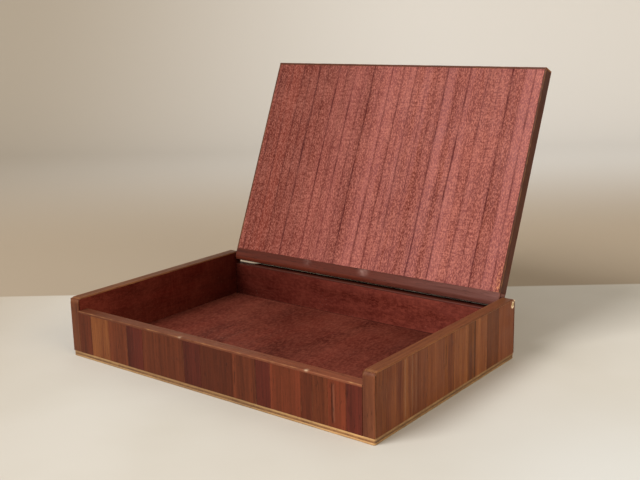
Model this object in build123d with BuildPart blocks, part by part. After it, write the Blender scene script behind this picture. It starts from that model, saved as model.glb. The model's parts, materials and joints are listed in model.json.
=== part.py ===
"""Flat wooden box with a flush lid that turns on two hidden pins.

The origin is the centre of the underside of the base. +X runs along the box, to its right-hand end,
+Y runs to the back, and +Z is up. The lid is modelled open, leaning back against its stop.
"""

import os
from math import asin, cos, degrees, radians, sin, sqrt

from build123d import *

# Driving dimensions, in millimetres
LENGTH = 200.0            # outside, end to end
DEPTH = 131.0             # outside, front to back
HEIGHT = 33.8             # top of the side walls above the table
PLY = 1.0                 # one of the base's three plies
BASE_CORNER = 2.5         # rounding of the base's upright corners
SIDE_WALL = 6.5           # side walls, veneer and lining included
FRONT_WALL = 6.5
BACK_WALL = 5.0
RIM_TOP = 26.5            # top of the front and back walls
VENEER = 0.9              # outer veneer strips
LINING = 0.6              # stained inner veneer
EDGING = 1.2              # strips on the ends and tops of the walls
FLOOR_TOP = 6.2           # floor of the inside above the table
WALL_CORNER = 3.0         # rounding of the side walls' top corners
LID = 7.0                 # lid thickness
LID_GAP = 0.5             # between the lid and each side wall
LID_EDGING = 1.0          # strips on the lid's left and right edges
REAR_STRIP = 7.0          # solid strip along the lid's hinge edge
PIN_R = 1.0
PIN_RUNNING = 0.05        # radial clearance of the pins in the lid
PIN_IN_LID = 12.0         # depth of each pin in the rear strip
PIN_SETBACK = 0.2         # how far the pin's outer end sits below the veneer
PIVOT_FROM_BACK = 2.3     # pin axis to the lid's back edge
PIVOT_FROM_TOP = 3.6      # pin axis to the lid's top face
OPENING = 113.0           # angle of the open lid from closed, in degrees
BACK_RIM_ARRIS = 1.0      # rounding of the back rim's inner arris
FRONT_RIM_ARRIS = 0.5
HOLLOW_LENGTH = 17.0      # shallow hollow at the left end of the back rim
HOLLOW_DEPTH = 0.8
BASE_ARRIS = 0.4

# Places that follow from them
BASE_TOP = 3 * PLY
FRONT = -DEPTH / 2
BACK = DEPTH / 2
INSIDE_X = LENGTH / 2 - SIDE_WALL
INSIDE_FRONT = FRONT + FRONT_WALL
INSIDE_BACK = BACK - BACK_WALL
RIM_LOW = RIM_TOP - EDGING
SIDE_HIGH = HEIGHT - EDGING
PIVOT_Y = BACK - PIVOT_FROM_BACK
PIVOT_Z = HEIGHT - PIVOT_FROM_TOP
LID_HALF = INSIDE_X - LID_GAP
LID_UNDER = PIVOT_FROM_TOP - LID         # the lid's inner face, measured from the pin axis
LID_FREE_EDGE = PIVOT_FROM_BACK - DEPTH  # the lid's free edge, measured from the pin axis
STRIP_FRONT = PIVOT_FROM_BACK - REAR_STRIP

# Veneer strips of each face, (width, wood), from its left to its right as one looks at that face
WOODS = ("dark", "plum", "brown", "amber")
FRONT_STRIPS = [
    (10, "dark"), (14, "amber"), (14, "brown"), (12, "plum"), (29.5, "brown"), (11.5, "plum"), (21, "dark"),
    (14.5, "brown"), (9, "plum"), (18, "amber"), (6.5, "dark"), (8.5, "brown"), (10, "amber"), (8.5, "plum"),
]
RIGHT_STRIPS = [
    (8, "plum"), (13.5, "brown"), (7.5, "amber"), (13, "brown"), (15.5, "amber"), (8.5, "dark"),
    (13.5, "amber"), (8, "dark"), (11.5, "amber"), (13, "dark"), (16.6, "brown"),
]
LEFT_STRIPS = [
    (14.6, "brown"), (11, "dark"), (13, "amber"), (9.5, "plum"), (12, "brown"), (15, "amber"),
    (8.5, "dark"), (14, "brown"), (10, "plum"), (12, "amber"), (9, "dark"),
]
BACK_STRIPS = [
    (9, "brown"), (15, "plum"), (12, "amber"), (18.5, "brown"), (10, "dark"), (13.5, "amber"), (20, "brown"),
    (8.5, "dark"), (14, "plum"), (16, "amber"), (11, "dark"), (17, "brown"), (9.5, "plum"), (13, "amber"),
]
LID_STRIPS = [
    (11, "brown"), (13, "amber"), (12, "plum"), (16, "brown"), (9.5, "dark"), (19, "amber"), (12.5, "plum"),
    (10, "brown"), (14, "dark"), (17, "brown"), (11, "plum"), (13, "amber"), (8, "dark"), (18, "brown"),
]

# The four upright faces: each plane's X runs to the right as one looks at the face, and its Y is up
FRONT_FACE = Plane(origin=(0, FRONT + VENEER, 0), x_dir=(1, 0, 0), z_dir=(0, -1, 0))
RIGHT_FACE = Plane(origin=(LENGTH / 2 - VENEER, 0, 0), x_dir=(0, 1, 0), z_dir=(1, 0, 0))
BACK_FACE = Plane(origin=(0, BACK - VENEER, 0), x_dir=(-1, 0, 0), z_dir=(0, 1, 0))
LEFT_FACE = Plane(origin=(VENEER - LENGTH / 2, 0, 0), x_dir=(0, -1, 0), z_dir=(-1, 0, 0))

# The lid's own frame, on the pin axis: X as the box, Y to the lid's back edge, Z out of its top face
TURN = radians(OPENING)
LID_BACKWARD = (0, cos(TURN), -sin(TURN))
LID_OUTWARD = (0, sin(TURN), cos(TURN))
LID_FRAME = Plane(origin=(0, PIVOT_Y, PIVOT_Z), x_dir=(1, 0, 0), z_dir=LID_OUTWARD)
STRIP_END = Plane(origin=(-LID_HALF, PIVOT_Y, PIVOT_Z), x_dir=LID_BACKWARD, z_dir=(1, 0, 0))

os.makedirs("parts", exist_ok=True)


def save(piece, name):
    """Label a finished piece and write it as its own STEP file."""
    piece.part.label = name
    export_step(piece.part, f"parts/{name}.step")


def rectangle_between(low, high):
    """Draw a rectangle from its low corner to its high corner in the sketch that is open."""
    with Locations(((low[0] + high[0]) / 2, (low[1] + high[1]) / 2)):
        Rectangle(high[0] - low[0], high[1] - low[1])


def block(name, low, high):
    """Make and save a plain board between two corners, given as (x, y, z)."""
    with BuildPart() as board:
        with BuildSketch(Plane.XY.offset(low[2])):
            rectangle_between(low, high)
        extrude(amount=high[2] - low[2])
    save(board, name)


def veneer_panel(face, plane, strips, low, high, bore=None):
    """Cover a face with strips: one piece for each wood, with a solid for each strip.

    The strips start half their total width left of the plane's origin. A bore is the place on the
    plane where a hinge pin comes through.
    """
    for wood in WOODS:
        with BuildPart() as veneer:
            with BuildSketch(plane):
                edge = -sum(width for width, _ in strips) / 2
                for width, strip_wood in strips:
                    if strip_wood == wood:
                        rectangle_between((edge, low), (edge + width, high))
                    edge += width
                if bore:
                    with Locations(bore):
                        Circle(PIN_R, mode=Mode.SUBTRACT)
            extrude(amount=VENEER)
        save(veneer, f"{face}_veneer_{wood}")


# Base: three plies, the lowest with a softened lower edge
for level, ply_name in enumerate(("bottom", "core", "top")):
    with BuildPart() as ply:
        with BuildSketch(Plane.XY.offset(level * PLY)):
            RectangleRounded(LENGTH, DEPTH, BASE_CORNER)
        extrude(amount=PLY)
        if ply_name == "bottom":
            chamfer(ply.faces().sort_by(Axis.Z)[0].edges(), BASE_ARRIS)
    save(ply, f"base_{ply_name}_ply")

# Floor inside the walls
block("floor_board", (-INSIDE_X, INSIDE_FRONT, BASE_TOP), (INSIDE_X, INSIDE_BACK, FLOOR_TOP - LINING))
block("floor_veneer", (-INSIDE_X, INSIDE_FRONT, FLOOR_TOP - LINING), (INSIDE_X, INSIDE_BACK, FLOOR_TOP))

# Side walls: a bored core and lining, with edging strips cut to the rounded outline of the wall
for side, sign in (("left", -1), ("right", 1)):
    outer_x = sign * LENGTH / 2
    layers = {
        "core": (sign * (LENGTH / 2 - VENEER), -sign * (SIDE_WALL - VENEER - LINING)),
        "lining": (sign * (INSIDE_X + LINING), -sign * LINING),
    }
    for layer, (start_x, inward) in layers.items():
        with BuildPart() as wall:
            with BuildSketch(Plane.YZ.offset(start_x)):
                rectangle_between((FRONT + EDGING, BASE_TOP), (BACK - EDGING, SIDE_HIGH))
                with Locations((PIVOT_Y, PIVOT_Z)):
                    Circle(PIN_R, mode=Mode.SUBTRACT)
            extrude(amount=inward)
        save(wall, f"{side}_wall_{layer}")

    edgings = {
        "front": ((FRONT, BASE_TOP), (FRONT + EDGING, HEIGHT)),
        "top": ((FRONT + EDGING, SIDE_HIGH), (BACK - EDGING, HEIGHT)),
        "rear": ((BACK - EDGING, BASE_TOP), (BACK, HEIGHT)),
    }
    for place, (low, high) in edgings.items():
        with BuildPart() as edging:
            with BuildSketch(Plane.YZ.offset(outer_x)):
                rectangle_between(low, high)
                with BuildSketch(mode=Mode.INTERSECT) as outline:
                    rectangle_between((FRONT, BASE_TOP), (BACK, HEIGHT))
                    fillet(outline.vertices().group_by(Axis.Y)[-1], WALL_CORNER)
            extrude(amount=-sign * SIDE_WALL)
        save(edging, f"{side}_wall_{place}_edging")

# Front wall, from its veneer inward
block("front_wall_core", (-INSIDE_X, FRONT + VENEER, BASE_TOP), (INSIDE_X, INSIDE_FRONT - LINING, RIM_LOW))
block("front_wall_lining", (-INSIDE_X, INSIDE_FRONT - LINING, BASE_TOP), (INSIDE_X, INSIDE_FRONT, RIM_LOW))
with BuildPart() as front_rim:
    with BuildSketch(Plane.XY.offset(RIM_LOW)):
        rectangle_between((-INSIDE_X, FRONT), (INSIDE_X, INSIDE_FRONT))
    extrude(amount=EDGING)
    fillet(front_rim.edges().filter_by(Axis.X).group_by(Axis.Z)[-1], FRONT_RIM_ARRIS)
save(front_rim, "front_wall_rim")

# Back wall: its rim has a rounded inner arris, and a shallow hollow at its left end
block("back_wall_core", (-INSIDE_X, INSIDE_BACK + LINING, BASE_TOP), (INSIDE_X, BACK - VENEER, RIM_LOW))
block("back_wall_lining", (-INSIDE_X, INSIDE_BACK, BASE_TOP), (INSIDE_X, INSIDE_BACK + LINING, RIM_LOW))
with BuildPart() as back_rim:
    with BuildSketch(Plane.XY.offset(RIM_LOW)):
        rectangle_between((-INSIDE_X, INSIDE_BACK), (INSIDE_X, BACK))
    extrude(amount=EDGING)
    fillet(back_rim.edges().filter_by(Axis.X).group_by(Axis.Z)[-1].sort_by(Axis.Y)[0], BACK_RIM_ARRIS)
    with BuildSketch(Plane.XZ.offset(-BACK)):
        with BuildLine():
            Polyline(
                (-INSIDE_X, RIM_TOP),
                (-INSIDE_X, RIM_TOP - HOLLOW_DEPTH),
                (-INSIDE_X + HOLLOW_LENGTH / 2, RIM_TOP - HOLLOW_DEPTH),
                (-INSIDE_X + HOLLOW_LENGTH, RIM_TOP),
                close=True,
            )
        make_face()
    extrude(amount=BACK_WALL, mode=Mode.SUBTRACT)
save(back_rim, "back_wall_rim")

# Veneer strips of the box
veneer_panel("front", FRONT_FACE, FRONT_STRIPS, BASE_TOP, RIM_LOW)
veneer_panel("back", BACK_FACE, BACK_STRIPS, BASE_TOP, RIM_LOW)
veneer_panel("right", RIGHT_FACE, RIGHT_STRIPS, BASE_TOP, SIDE_HIGH, bore=(PIVOT_Y, PIVOT_Z))
veneer_panel("left", LEFT_FACE, LEFT_STRIPS, BASE_TOP, SIDE_HIGH, bore=(-PIVOT_Y, PIVOT_Z))

# Hinge pins, driven through the side walls into the lid
for side, sign in (("left", -1), ("right", 1)):
    with BuildPart() as pin:
        with BuildSketch(Plane.YZ.offset(sign * (LENGTH / 2 - PIN_SETBACK))):
            with Locations((PIVOT_Y, PIVOT_Z)):
                Circle(PIN_R)
        extrude(amount=-sign * (SIDE_WALL - PIN_SETBACK + LID_GAP + PIN_IN_LID))
    save(pin, f"{side}_hinge_pin")

# Lid: core and lining between the edging strips
lid_half_inner = LID_HALF - LID_EDGING
lid_free_inner = LID_FREE_EDGE + EDGING
lid_layers = {
    "lid_lining": (LID_UNDER, LINING),
    "lid_core": (LID_UNDER + LINING, LID - LINING - VENEER),
}
for layer, (low, thickness) in lid_layers.items():
    with BuildPart() as lid_board:
        with BuildSketch(LID_FRAME.offset(low)):
            rectangle_between((-lid_half_inner, lid_free_inner), (lid_half_inner, STRIP_FRONT))
        extrude(amount=thickness)
    save(lid_board, layer)

lid_edgings = {
    "lid_front_edging": ((-LID_HALF, LID_FREE_EDGE), (LID_HALF, lid_free_inner)),
    "lid_left_edging": ((-LID_HALF, lid_free_inner), (-lid_half_inner, STRIP_FRONT)),
    "lid_right_edging": ((lid_half_inner, lid_free_inner), (LID_HALF, STRIP_FRONT)),
}
for edging_name, (low, high) in lid_edgings.items():
    with BuildPart() as lid_edging:
        with BuildSketch(LID_FRAME.offset(LID_UNDER)):
            rectangle_between(low, high)
        extrude(amount=LID)
    save(lid_edging, edging_name)

# Lid rear strip: its inner arris is rounded about the pins, so that it turns clear of the back wall.
# Its outer arris stays square, and comes down on the back wall's rim when the lid is open.
nose = -LID_UNDER
nose_end = -sqrt(nose**2 - PIVOT_FROM_BACK**2)
with BuildPart() as rear_strip:
    with BuildSketch(STRIP_END):
        with BuildLine():
            CenterArc((0, 0), nose, -90, degrees(asin(PIVOT_FROM_BACK / nose)))
            Polyline(
                (PIVOT_FROM_BACK, nose_end),
                (PIVOT_FROM_BACK, PIVOT_FROM_TOP),
                (STRIP_FRONT, PIVOT_FROM_TOP),
                (STRIP_FRONT, LID_UNDER),
                (0, LID_UNDER),
            )
        make_face()
    extrude(amount=2 * LID_HALF)
    for end_plane in (STRIP_END, STRIP_END.offset(2 * LID_HALF - PIN_IN_LID - LID_GAP)):
        with BuildSketch(end_plane):
            Circle(PIN_R + PIN_RUNNING)
        extrude(amount=PIN_IN_LID + LID_GAP, mode=Mode.SUBTRACT)
save(rear_strip, "lid_rear_strip")

# Lid top veneer, run from the free edge to the rear strip
veneer_panel("lid", LID_FRAME.offset(PIVOT_FROM_TOP - VENEER), LID_STRIPS, lid_free_inner, STRIP_FRONT)
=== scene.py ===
"""Wooden puzzle box: surfaces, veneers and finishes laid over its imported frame.

Every piece is a section with rounded corners carried along a straight run, worked out as whole
arrays. The lid's pieces are worked out in the lid's own axes, on the hinge pins, and then placed.
"""
import json
import logging
import math
from dataclasses import dataclass, field
from enum import Enum

import bpy
import numpy as np
from mathutils import Matrix, Vector


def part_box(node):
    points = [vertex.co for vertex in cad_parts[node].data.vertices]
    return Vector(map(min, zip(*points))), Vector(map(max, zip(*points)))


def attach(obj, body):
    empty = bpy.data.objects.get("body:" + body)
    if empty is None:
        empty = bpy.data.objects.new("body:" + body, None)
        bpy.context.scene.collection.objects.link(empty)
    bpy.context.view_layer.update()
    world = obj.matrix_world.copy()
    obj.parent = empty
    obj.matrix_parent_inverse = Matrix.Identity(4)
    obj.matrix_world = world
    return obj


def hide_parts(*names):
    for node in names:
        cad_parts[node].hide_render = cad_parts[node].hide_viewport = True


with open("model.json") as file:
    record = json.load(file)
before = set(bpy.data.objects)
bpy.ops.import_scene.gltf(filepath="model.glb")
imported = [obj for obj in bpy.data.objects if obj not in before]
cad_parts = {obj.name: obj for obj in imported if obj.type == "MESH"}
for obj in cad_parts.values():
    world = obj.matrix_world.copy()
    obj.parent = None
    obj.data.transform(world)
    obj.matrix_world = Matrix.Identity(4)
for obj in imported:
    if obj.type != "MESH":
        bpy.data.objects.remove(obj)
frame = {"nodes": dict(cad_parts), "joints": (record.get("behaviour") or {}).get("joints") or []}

LOG = logging.getLogger("puzzle_box")
MM = 0.001
LEAST_ROUNDING = 0.05 * MM      # no arris is ever sharper
Vec3 = tuple[float, float, float]
Colour = tuple[float, float, float, float]


def shade(red: float, green: float, blue: float) -> Colour:
    """Turn a colour mixed on the usual 0 to 255 scale into the linear values a shader takes.

    Args:
        red: Red part.
        green: Green part.
        blue: Blue part.

    Returns:
        The linear colour, fully opaque.
    """
    parts = np.array([red, green, blue]) / 255.0
    linear = np.where(parts <= 0.04045, parts / 12.92, ((parts + 0.055) / 1.055) ** 2.4)
    return (float(linear[0]), float(linear[1]), float(linear[2]), 1.0)


def drift(seed: int, place: np.ndarray, step: float) -> np.ndarray:
    """Smooth random drift between -1 and 1 along a line.

    A random height stands at every step, and between two of them the value follows 3t^2 - 2t^3.

    Args:
        seed: Which row of random heights to use.
        place: Places along the line, in metres.
        step: Distance between two random heights, in metres.

    Returns:
        The drift at each place.
    """
    heights = np.random.default_rng(seed).uniform(-1.0, 1.0, 512)
    steps = np.asarray(place, float) / step + 200.0
    cell = np.floor(steps).astype(int)
    part = steps - cell
    ease = part * part * (3.0 - 2.0 * part)
    return heights[cell % 512] * (1.0 - ease) + heights[(cell + 1) % 512] * ease


def drift_field(seed: int, across: np.ndarray, along: np.ndarray, step: tuple[float, float]) -> np.ndarray:
    """Smooth random drift between -1 and 1 over a surface, blended as in drift, both ways at once.

    Args:
        seed: Which sheet of random heights to use.
        across: First coordinate of each place, in metres.
        along: Second coordinate of each place, in metres.
        step: Distance between random heights in each direction, in metres.

    Returns:
        The drift at each place.
    """
    heights = np.random.default_rng(seed).uniform(-1.0, 1.0, (256, 256))
    u, v = across / step[0] + 100.0, along / step[1] + 100.0
    iu, iv = np.floor(u).astype(int), np.floor(v).astype(int)
    eu, ev = (u - iu) ** 2 * (3 - 2 * (u - iu)), (v - iv) ** 2 * (3 - 2 * (v - iv))
    a, b, c, d = iu % 256, (iu + 1) % 256, iv % 256, (iv + 1) % 256
    near = heights[a, c] * (1 - eu) + heights[b, c] * eu
    far = heights[a, d] * (1 - eu) + heights[b, d] * eu
    return near * (1 - ev) + far * ev


def swell(place: np.ndarray, centre: float, reach: float) -> np.ndarray:
    """Smooth hump exp(-(distance / reach)^2), 1 at its centre."""
    return np.exp(-(((place - centre) / reach) ** 2))


@dataclass(frozen=True)
class Placement:
    """Where a sub-assembly's own axes lie in the shared frame."""

    origin: np.ndarray
    axes: np.ndarray    # rows: the own X, Y and Z axes

    def place(self, points: np.ndarray) -> np.ndarray:
        """Carry points from the sub-assembly's own axes into the shared frame."""
        return self.origin + points @ self.axes


@dataclass
class Surface:
    """One closed tube of points: rows are stations along the run, columns go round the section."""

    points: np.ndarray
    normals: np.ndarray
    values: dict[str, np.ndarray]

    def sink(self, depth: np.ndarray) -> None:
        """Push every point inwards, along its own normal, by its depth in metres."""
        self.points = self.points - self.normals * depth[..., None]


@dataclass(frozen=True)
class Board:
    """A straight length of wood with eased arrises.

    Its section is a convex polygon with each corner rounded by an arc, and it is carried along the
    run. At both ends the section draws in by R(1 - cos a) while it moves R(1 - sin a) from the end,
    so that the ends are eased too. Each arris wears by a smooth drift along the run.
    """

    low: Vec3                    # corners in the own axes, in metres
    high: Vec3
    run: int                     # axis that the section is carried along
    seed: int
    easing: float = 0.3 * MM     # rounding of the long arrises
    tip: float = 0.25 * MM       # rounding of the two ends
    worn: float = 0.15 * MM      # how much an arris's rounding varies by wear
    pitch: float = 4 * MM        # spacing of points across the flats
    fine: tuple[int, ...] = ()   # flats that get the finer pitch
    fine_pitch: float = 0.5 * MM
    stride: float = 2.5 * MM     # spacing of stations
    grain: int | None = None     # axis of the wood's grain, the run if not given
    corners: tuple[tuple[float, float], ...] = ()   # section, if it isn't the plain rectangle
    radii: tuple[float, ...] = ()                   # rounding of each of those corners
    arc_steps: int = 4

    def section_axes(self) -> tuple[int, int]:
        """The two axes across the run, in right-handed order."""
        return (self.run + 1) % 3, (self.run + 2) % 3

    def stations(self) -> tuple[np.ndarray, np.ndarray]:
        """Work out places along the run and how far the section is drawn in at each.

        Returns:
            The places and the insets, in metres.
        """
        start, end = self.low[self.run], self.high[self.run]
        angle = np.linspace(math.pi / 2, 0.0, 5)
        reach, inset = self.tip * (1 - np.sin(angle)), self.tip * (1 - np.cos(angle))
        body = end - start - 2 * self.tip
        count = max(2, int(round(body / self.stride)))
        support = min(0.12 * MM, body * 0.2)
        middle = np.linspace(start + self.tip + support, end - self.tip - support, count)
        places = np.concatenate([start + reach, middle, end - reach[::-1]])
        insets = np.concatenate([inset, np.zeros(count), inset[::-1]])
        return places, insets

    def polygon(self) -> tuple[np.ndarray, np.ndarray]:
        """Corners of the section, anticlockwise, and the rounding of each.

        Returns:
            The corners as rows, and the roundings in metres.
        """
        if self.corners:
            return np.array(self.corners), np.array(self.radii)
        u, w = self.section_axes()
        (u0, w0), (u1, w1) = (self.low[u], self.low[w]), (self.high[u], self.high[w])
        return np.array([(u0, w0), (u1, w0), (u1, w1), (u0, w1)]), np.full(4, self.easing)

    def surface(self) -> Surface:
        """Carry the rounded section along the run.

        Corner k has the arc centre P - r (n + m) / (1 + n.m) for its two flats' normals n and m,
        and the arc runs from n to m. The flats between arcs are divided evenly, with a point close
        to each arc so that the shading stays flat.

        Returns:
            The surface with its values: wear on the arrises, and the grain's own coordinates.
        """
        places, insets = self.stations()
        corner, radius = self.polygon()
        count = len(corner)
        edge = np.roll(corner, -1, axis=0) - corner
        length = np.linalg.norm(edge, axis=1)
        after = np.stack([edge[:, 1], -edge[:, 0]], axis=1) / length[:, None]
        before = np.roll(after, 1, axis=0)
        first = np.arctan2(before[:, 1], before[:, 0])
        turn = (np.arctan2(after[:, 1], after[:, 0]) - first) % (2 * math.pi)
        wander = np.stack([
            0.5 * drift(self.seed * 7 + k, places, 9 * MM) + 0.5 * drift(self.seed * 7 + k, places, 2.3 * MM)
            for k in range(count)
        ], axis=1)
        rounding = np.maximum(radius + self.worn * wander, np.minimum(radius, LEAST_ROUNDING))
        bisector = (before + after) / (1 + np.sum(before * after, axis=1))[:, None]
        centre = corner - rounding[..., None] * bisector
        steps = np.linspace(0.0, 1.0, self.arc_steps + 1)
        angle = first[:, None] + turn[:, None] * steps
        spoke = np.stack([np.cos(angle), np.sin(angle)], axis=-1)
        arcs = centre[:, :, None] + rounding[:, :, None, None] * spoke

        outline, normals, wear = [], [], []
        rows = len(places)
        for k in range(count):
            gap = self.fine_pitch if k in self.fine else self.pitch
            parts = max(1, int(round(length[k] / gap)))
            close = min(0.12 * MM / length[k], 0.2)
            share = np.concatenate([[close], np.linspace(close, 1 - close, parts + 1)[1:-1], [1 - close]])
            begin, finish = arcs[:, k, -1], arcs[:, (k + 1) % count, 0]
            flat = begin[:, None] + (finish - begin)[:, None] * share[None, :, None]
            outline += [arcs[:, k], flat]
            normals += [np.broadcast_to(spoke[k], (rows, *spoke[k].shape)),
                        np.broadcast_to(after[k], (rows, len(share), 2))]
            rub = 0.55 + 0.45 * wander[:, k]
            arch = np.sin(np.pi * (0.15 + 0.7 * steps))
            wear += [rub[:, None] * arch[None, :], np.zeros((rows, len(share)))]
        flat_points = np.concatenate(outline, axis=1)
        flat_normals = np.concatenate(normals, axis=1)
        rub_all = np.concatenate(wear, axis=1)
        flat_points = flat_points - insets[:, None, None] * flat_normals
        end_rub = np.clip(insets / max(self.tip, 1e-9), 0, 1) * (0.5 + 0.3 * drift(self.seed, places, MM))
        rub_all = np.maximum(rub_all, end_rub[:, None])

        u, w = self.section_axes()
        points = np.empty((*flat_points.shape[:2], 3))
        points[..., u], points[..., w] = flat_points[..., 0], flat_points[..., 1]
        points[..., self.run] = places[:, None]
        directions = np.zeros_like(points)
        directions[..., u], directions[..., w] = flat_normals[..., 0], flat_normals[..., 1]
        return Surface(points, directions, {"wear": rub_all, "grain": self.grain_coordinates(points)})

    def grain_coordinates(self, points: np.ndarray) -> np.ndarray:
        """Coordinates of the wood itself: the last one along the grain, each board from its own log.

        Args:
            points: Points of the board.

        Returns:
            The same points as the grain sees them.
        """
        axis = self.run if self.grain is None else self.grain
        order = [(axis + 1) % 3, (axis + 2) % 3, axis]
        away = np.random.default_rng(self.seed + 5000).uniform(-1.0, 1.0, 3)
        return points[..., order] + away


@dataclass
class Skin:
    """Points, faces and surface values of one piece, gathered surface by surface."""

    placement: Placement
    points: list[np.ndarray] = field(default_factory=list)
    faces: list[list[int]] = field(default_factory=list)
    values: dict[str, list[np.ndarray]] = field(default_factory=dict)
    total: int = 0

    def add(self, surface: Surface, **marks: float) -> None:
        """Add a tube and close both its ends.

        Args:
            surface: The tube, in the sub-assembly's own axes.
            marks: Values that are the same all over it.
        """
        rows, columns = surface.points.shape[:2]
        index = np.arange(rows * columns).reshape(rows, columns) + self.total
        here, there = index[:-1], index[1:]
        quads = np.stack([here, np.roll(here, -1, 1), np.roll(there, -1, 1), there], axis=-1)
        self.faces += quads.reshape(-1, 4).tolist()
        self.faces += [index[0, ::-1].tolist(), index[-1].tolist()]
        self.points.append(self.placement.place(surface.points.reshape(-1, 3)))
        values = dict(surface.values)
        values.update({name: np.full((rows, columns), number) for name, number in marks.items()})
        for name, value in values.items():
            self.values.setdefault(name, []).append(value.reshape(rows * columns, -1))
        self.total += rows * columns

    def mesh(self, name: str) -> bpy.types.Mesh:
        """Write the gathered arrays into a mesh, with every value as an attribute of its points.

        Args:
            name: The mesh's name.

        Returns:
            The mesh.
        """
        made = bpy.data.meshes.new(name)
        made.from_pydata(np.concatenate(self.points).tolist(), [], self.faces)
        made.polygons.foreach_set("use_smooth", np.ones(len(made.polygons), bool))
        for label, parts in self.values.items():
            value = np.concatenate(parts).astype(np.float32)
            if value.shape[1] == 3:
                made.attributes.new(label, "FLOAT_VECTOR", "POINT").data.foreach_set("vector", value.ravel())
            else:
                made.attributes.new(label, "FLOAT", "POINT").data.foreach_set("value", value.ravel())
        made.update()
        return made


class Slot(Enum):
    """The record's material slots."""

    PALE_PLY = "pale_ply"
    PLY_CORE = "ply_core"
    RED_STAIN = "red_stained_wood"
    CORE = "core_wood"
    DARK = "veneer_dark"
    PLUM = "veneer_plum"
    BROWN = "veneer_brown"
    AMBER = "veneer_amber"
    STRIP = "strip_wood"
    EDGING = "edging_wood"
    PIN = "pin_metal"


def finish_piece(name: str, skin: Skin, material: bpy.types.Material, body: str,
                 stands_for: tuple[str, ...]) -> bpy.types.Object:
    """Make a piece from its skin, dress it, tie it to its body and hide the CAD nodes that it replaces.

    Args:
        name: The piece's name.
        skin: Its gathered surfaces.
        material: Its finish.
        body: The CAD body it rides on.
        stands_for: CAD nodes that it replaces.

    Returns:
        The finished object.
    """
    piece = bpy.data.objects.new(name, skin.mesh(name))
    bpy.context.scene.collection.objects.link(piece)
    piece.data.materials.append(material)
    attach(piece, body)
    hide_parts(*stands_for)
    LOG.info("%s: %d points, rides on %s", name, len(piece.data.vertices), body)
    return piece


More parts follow.
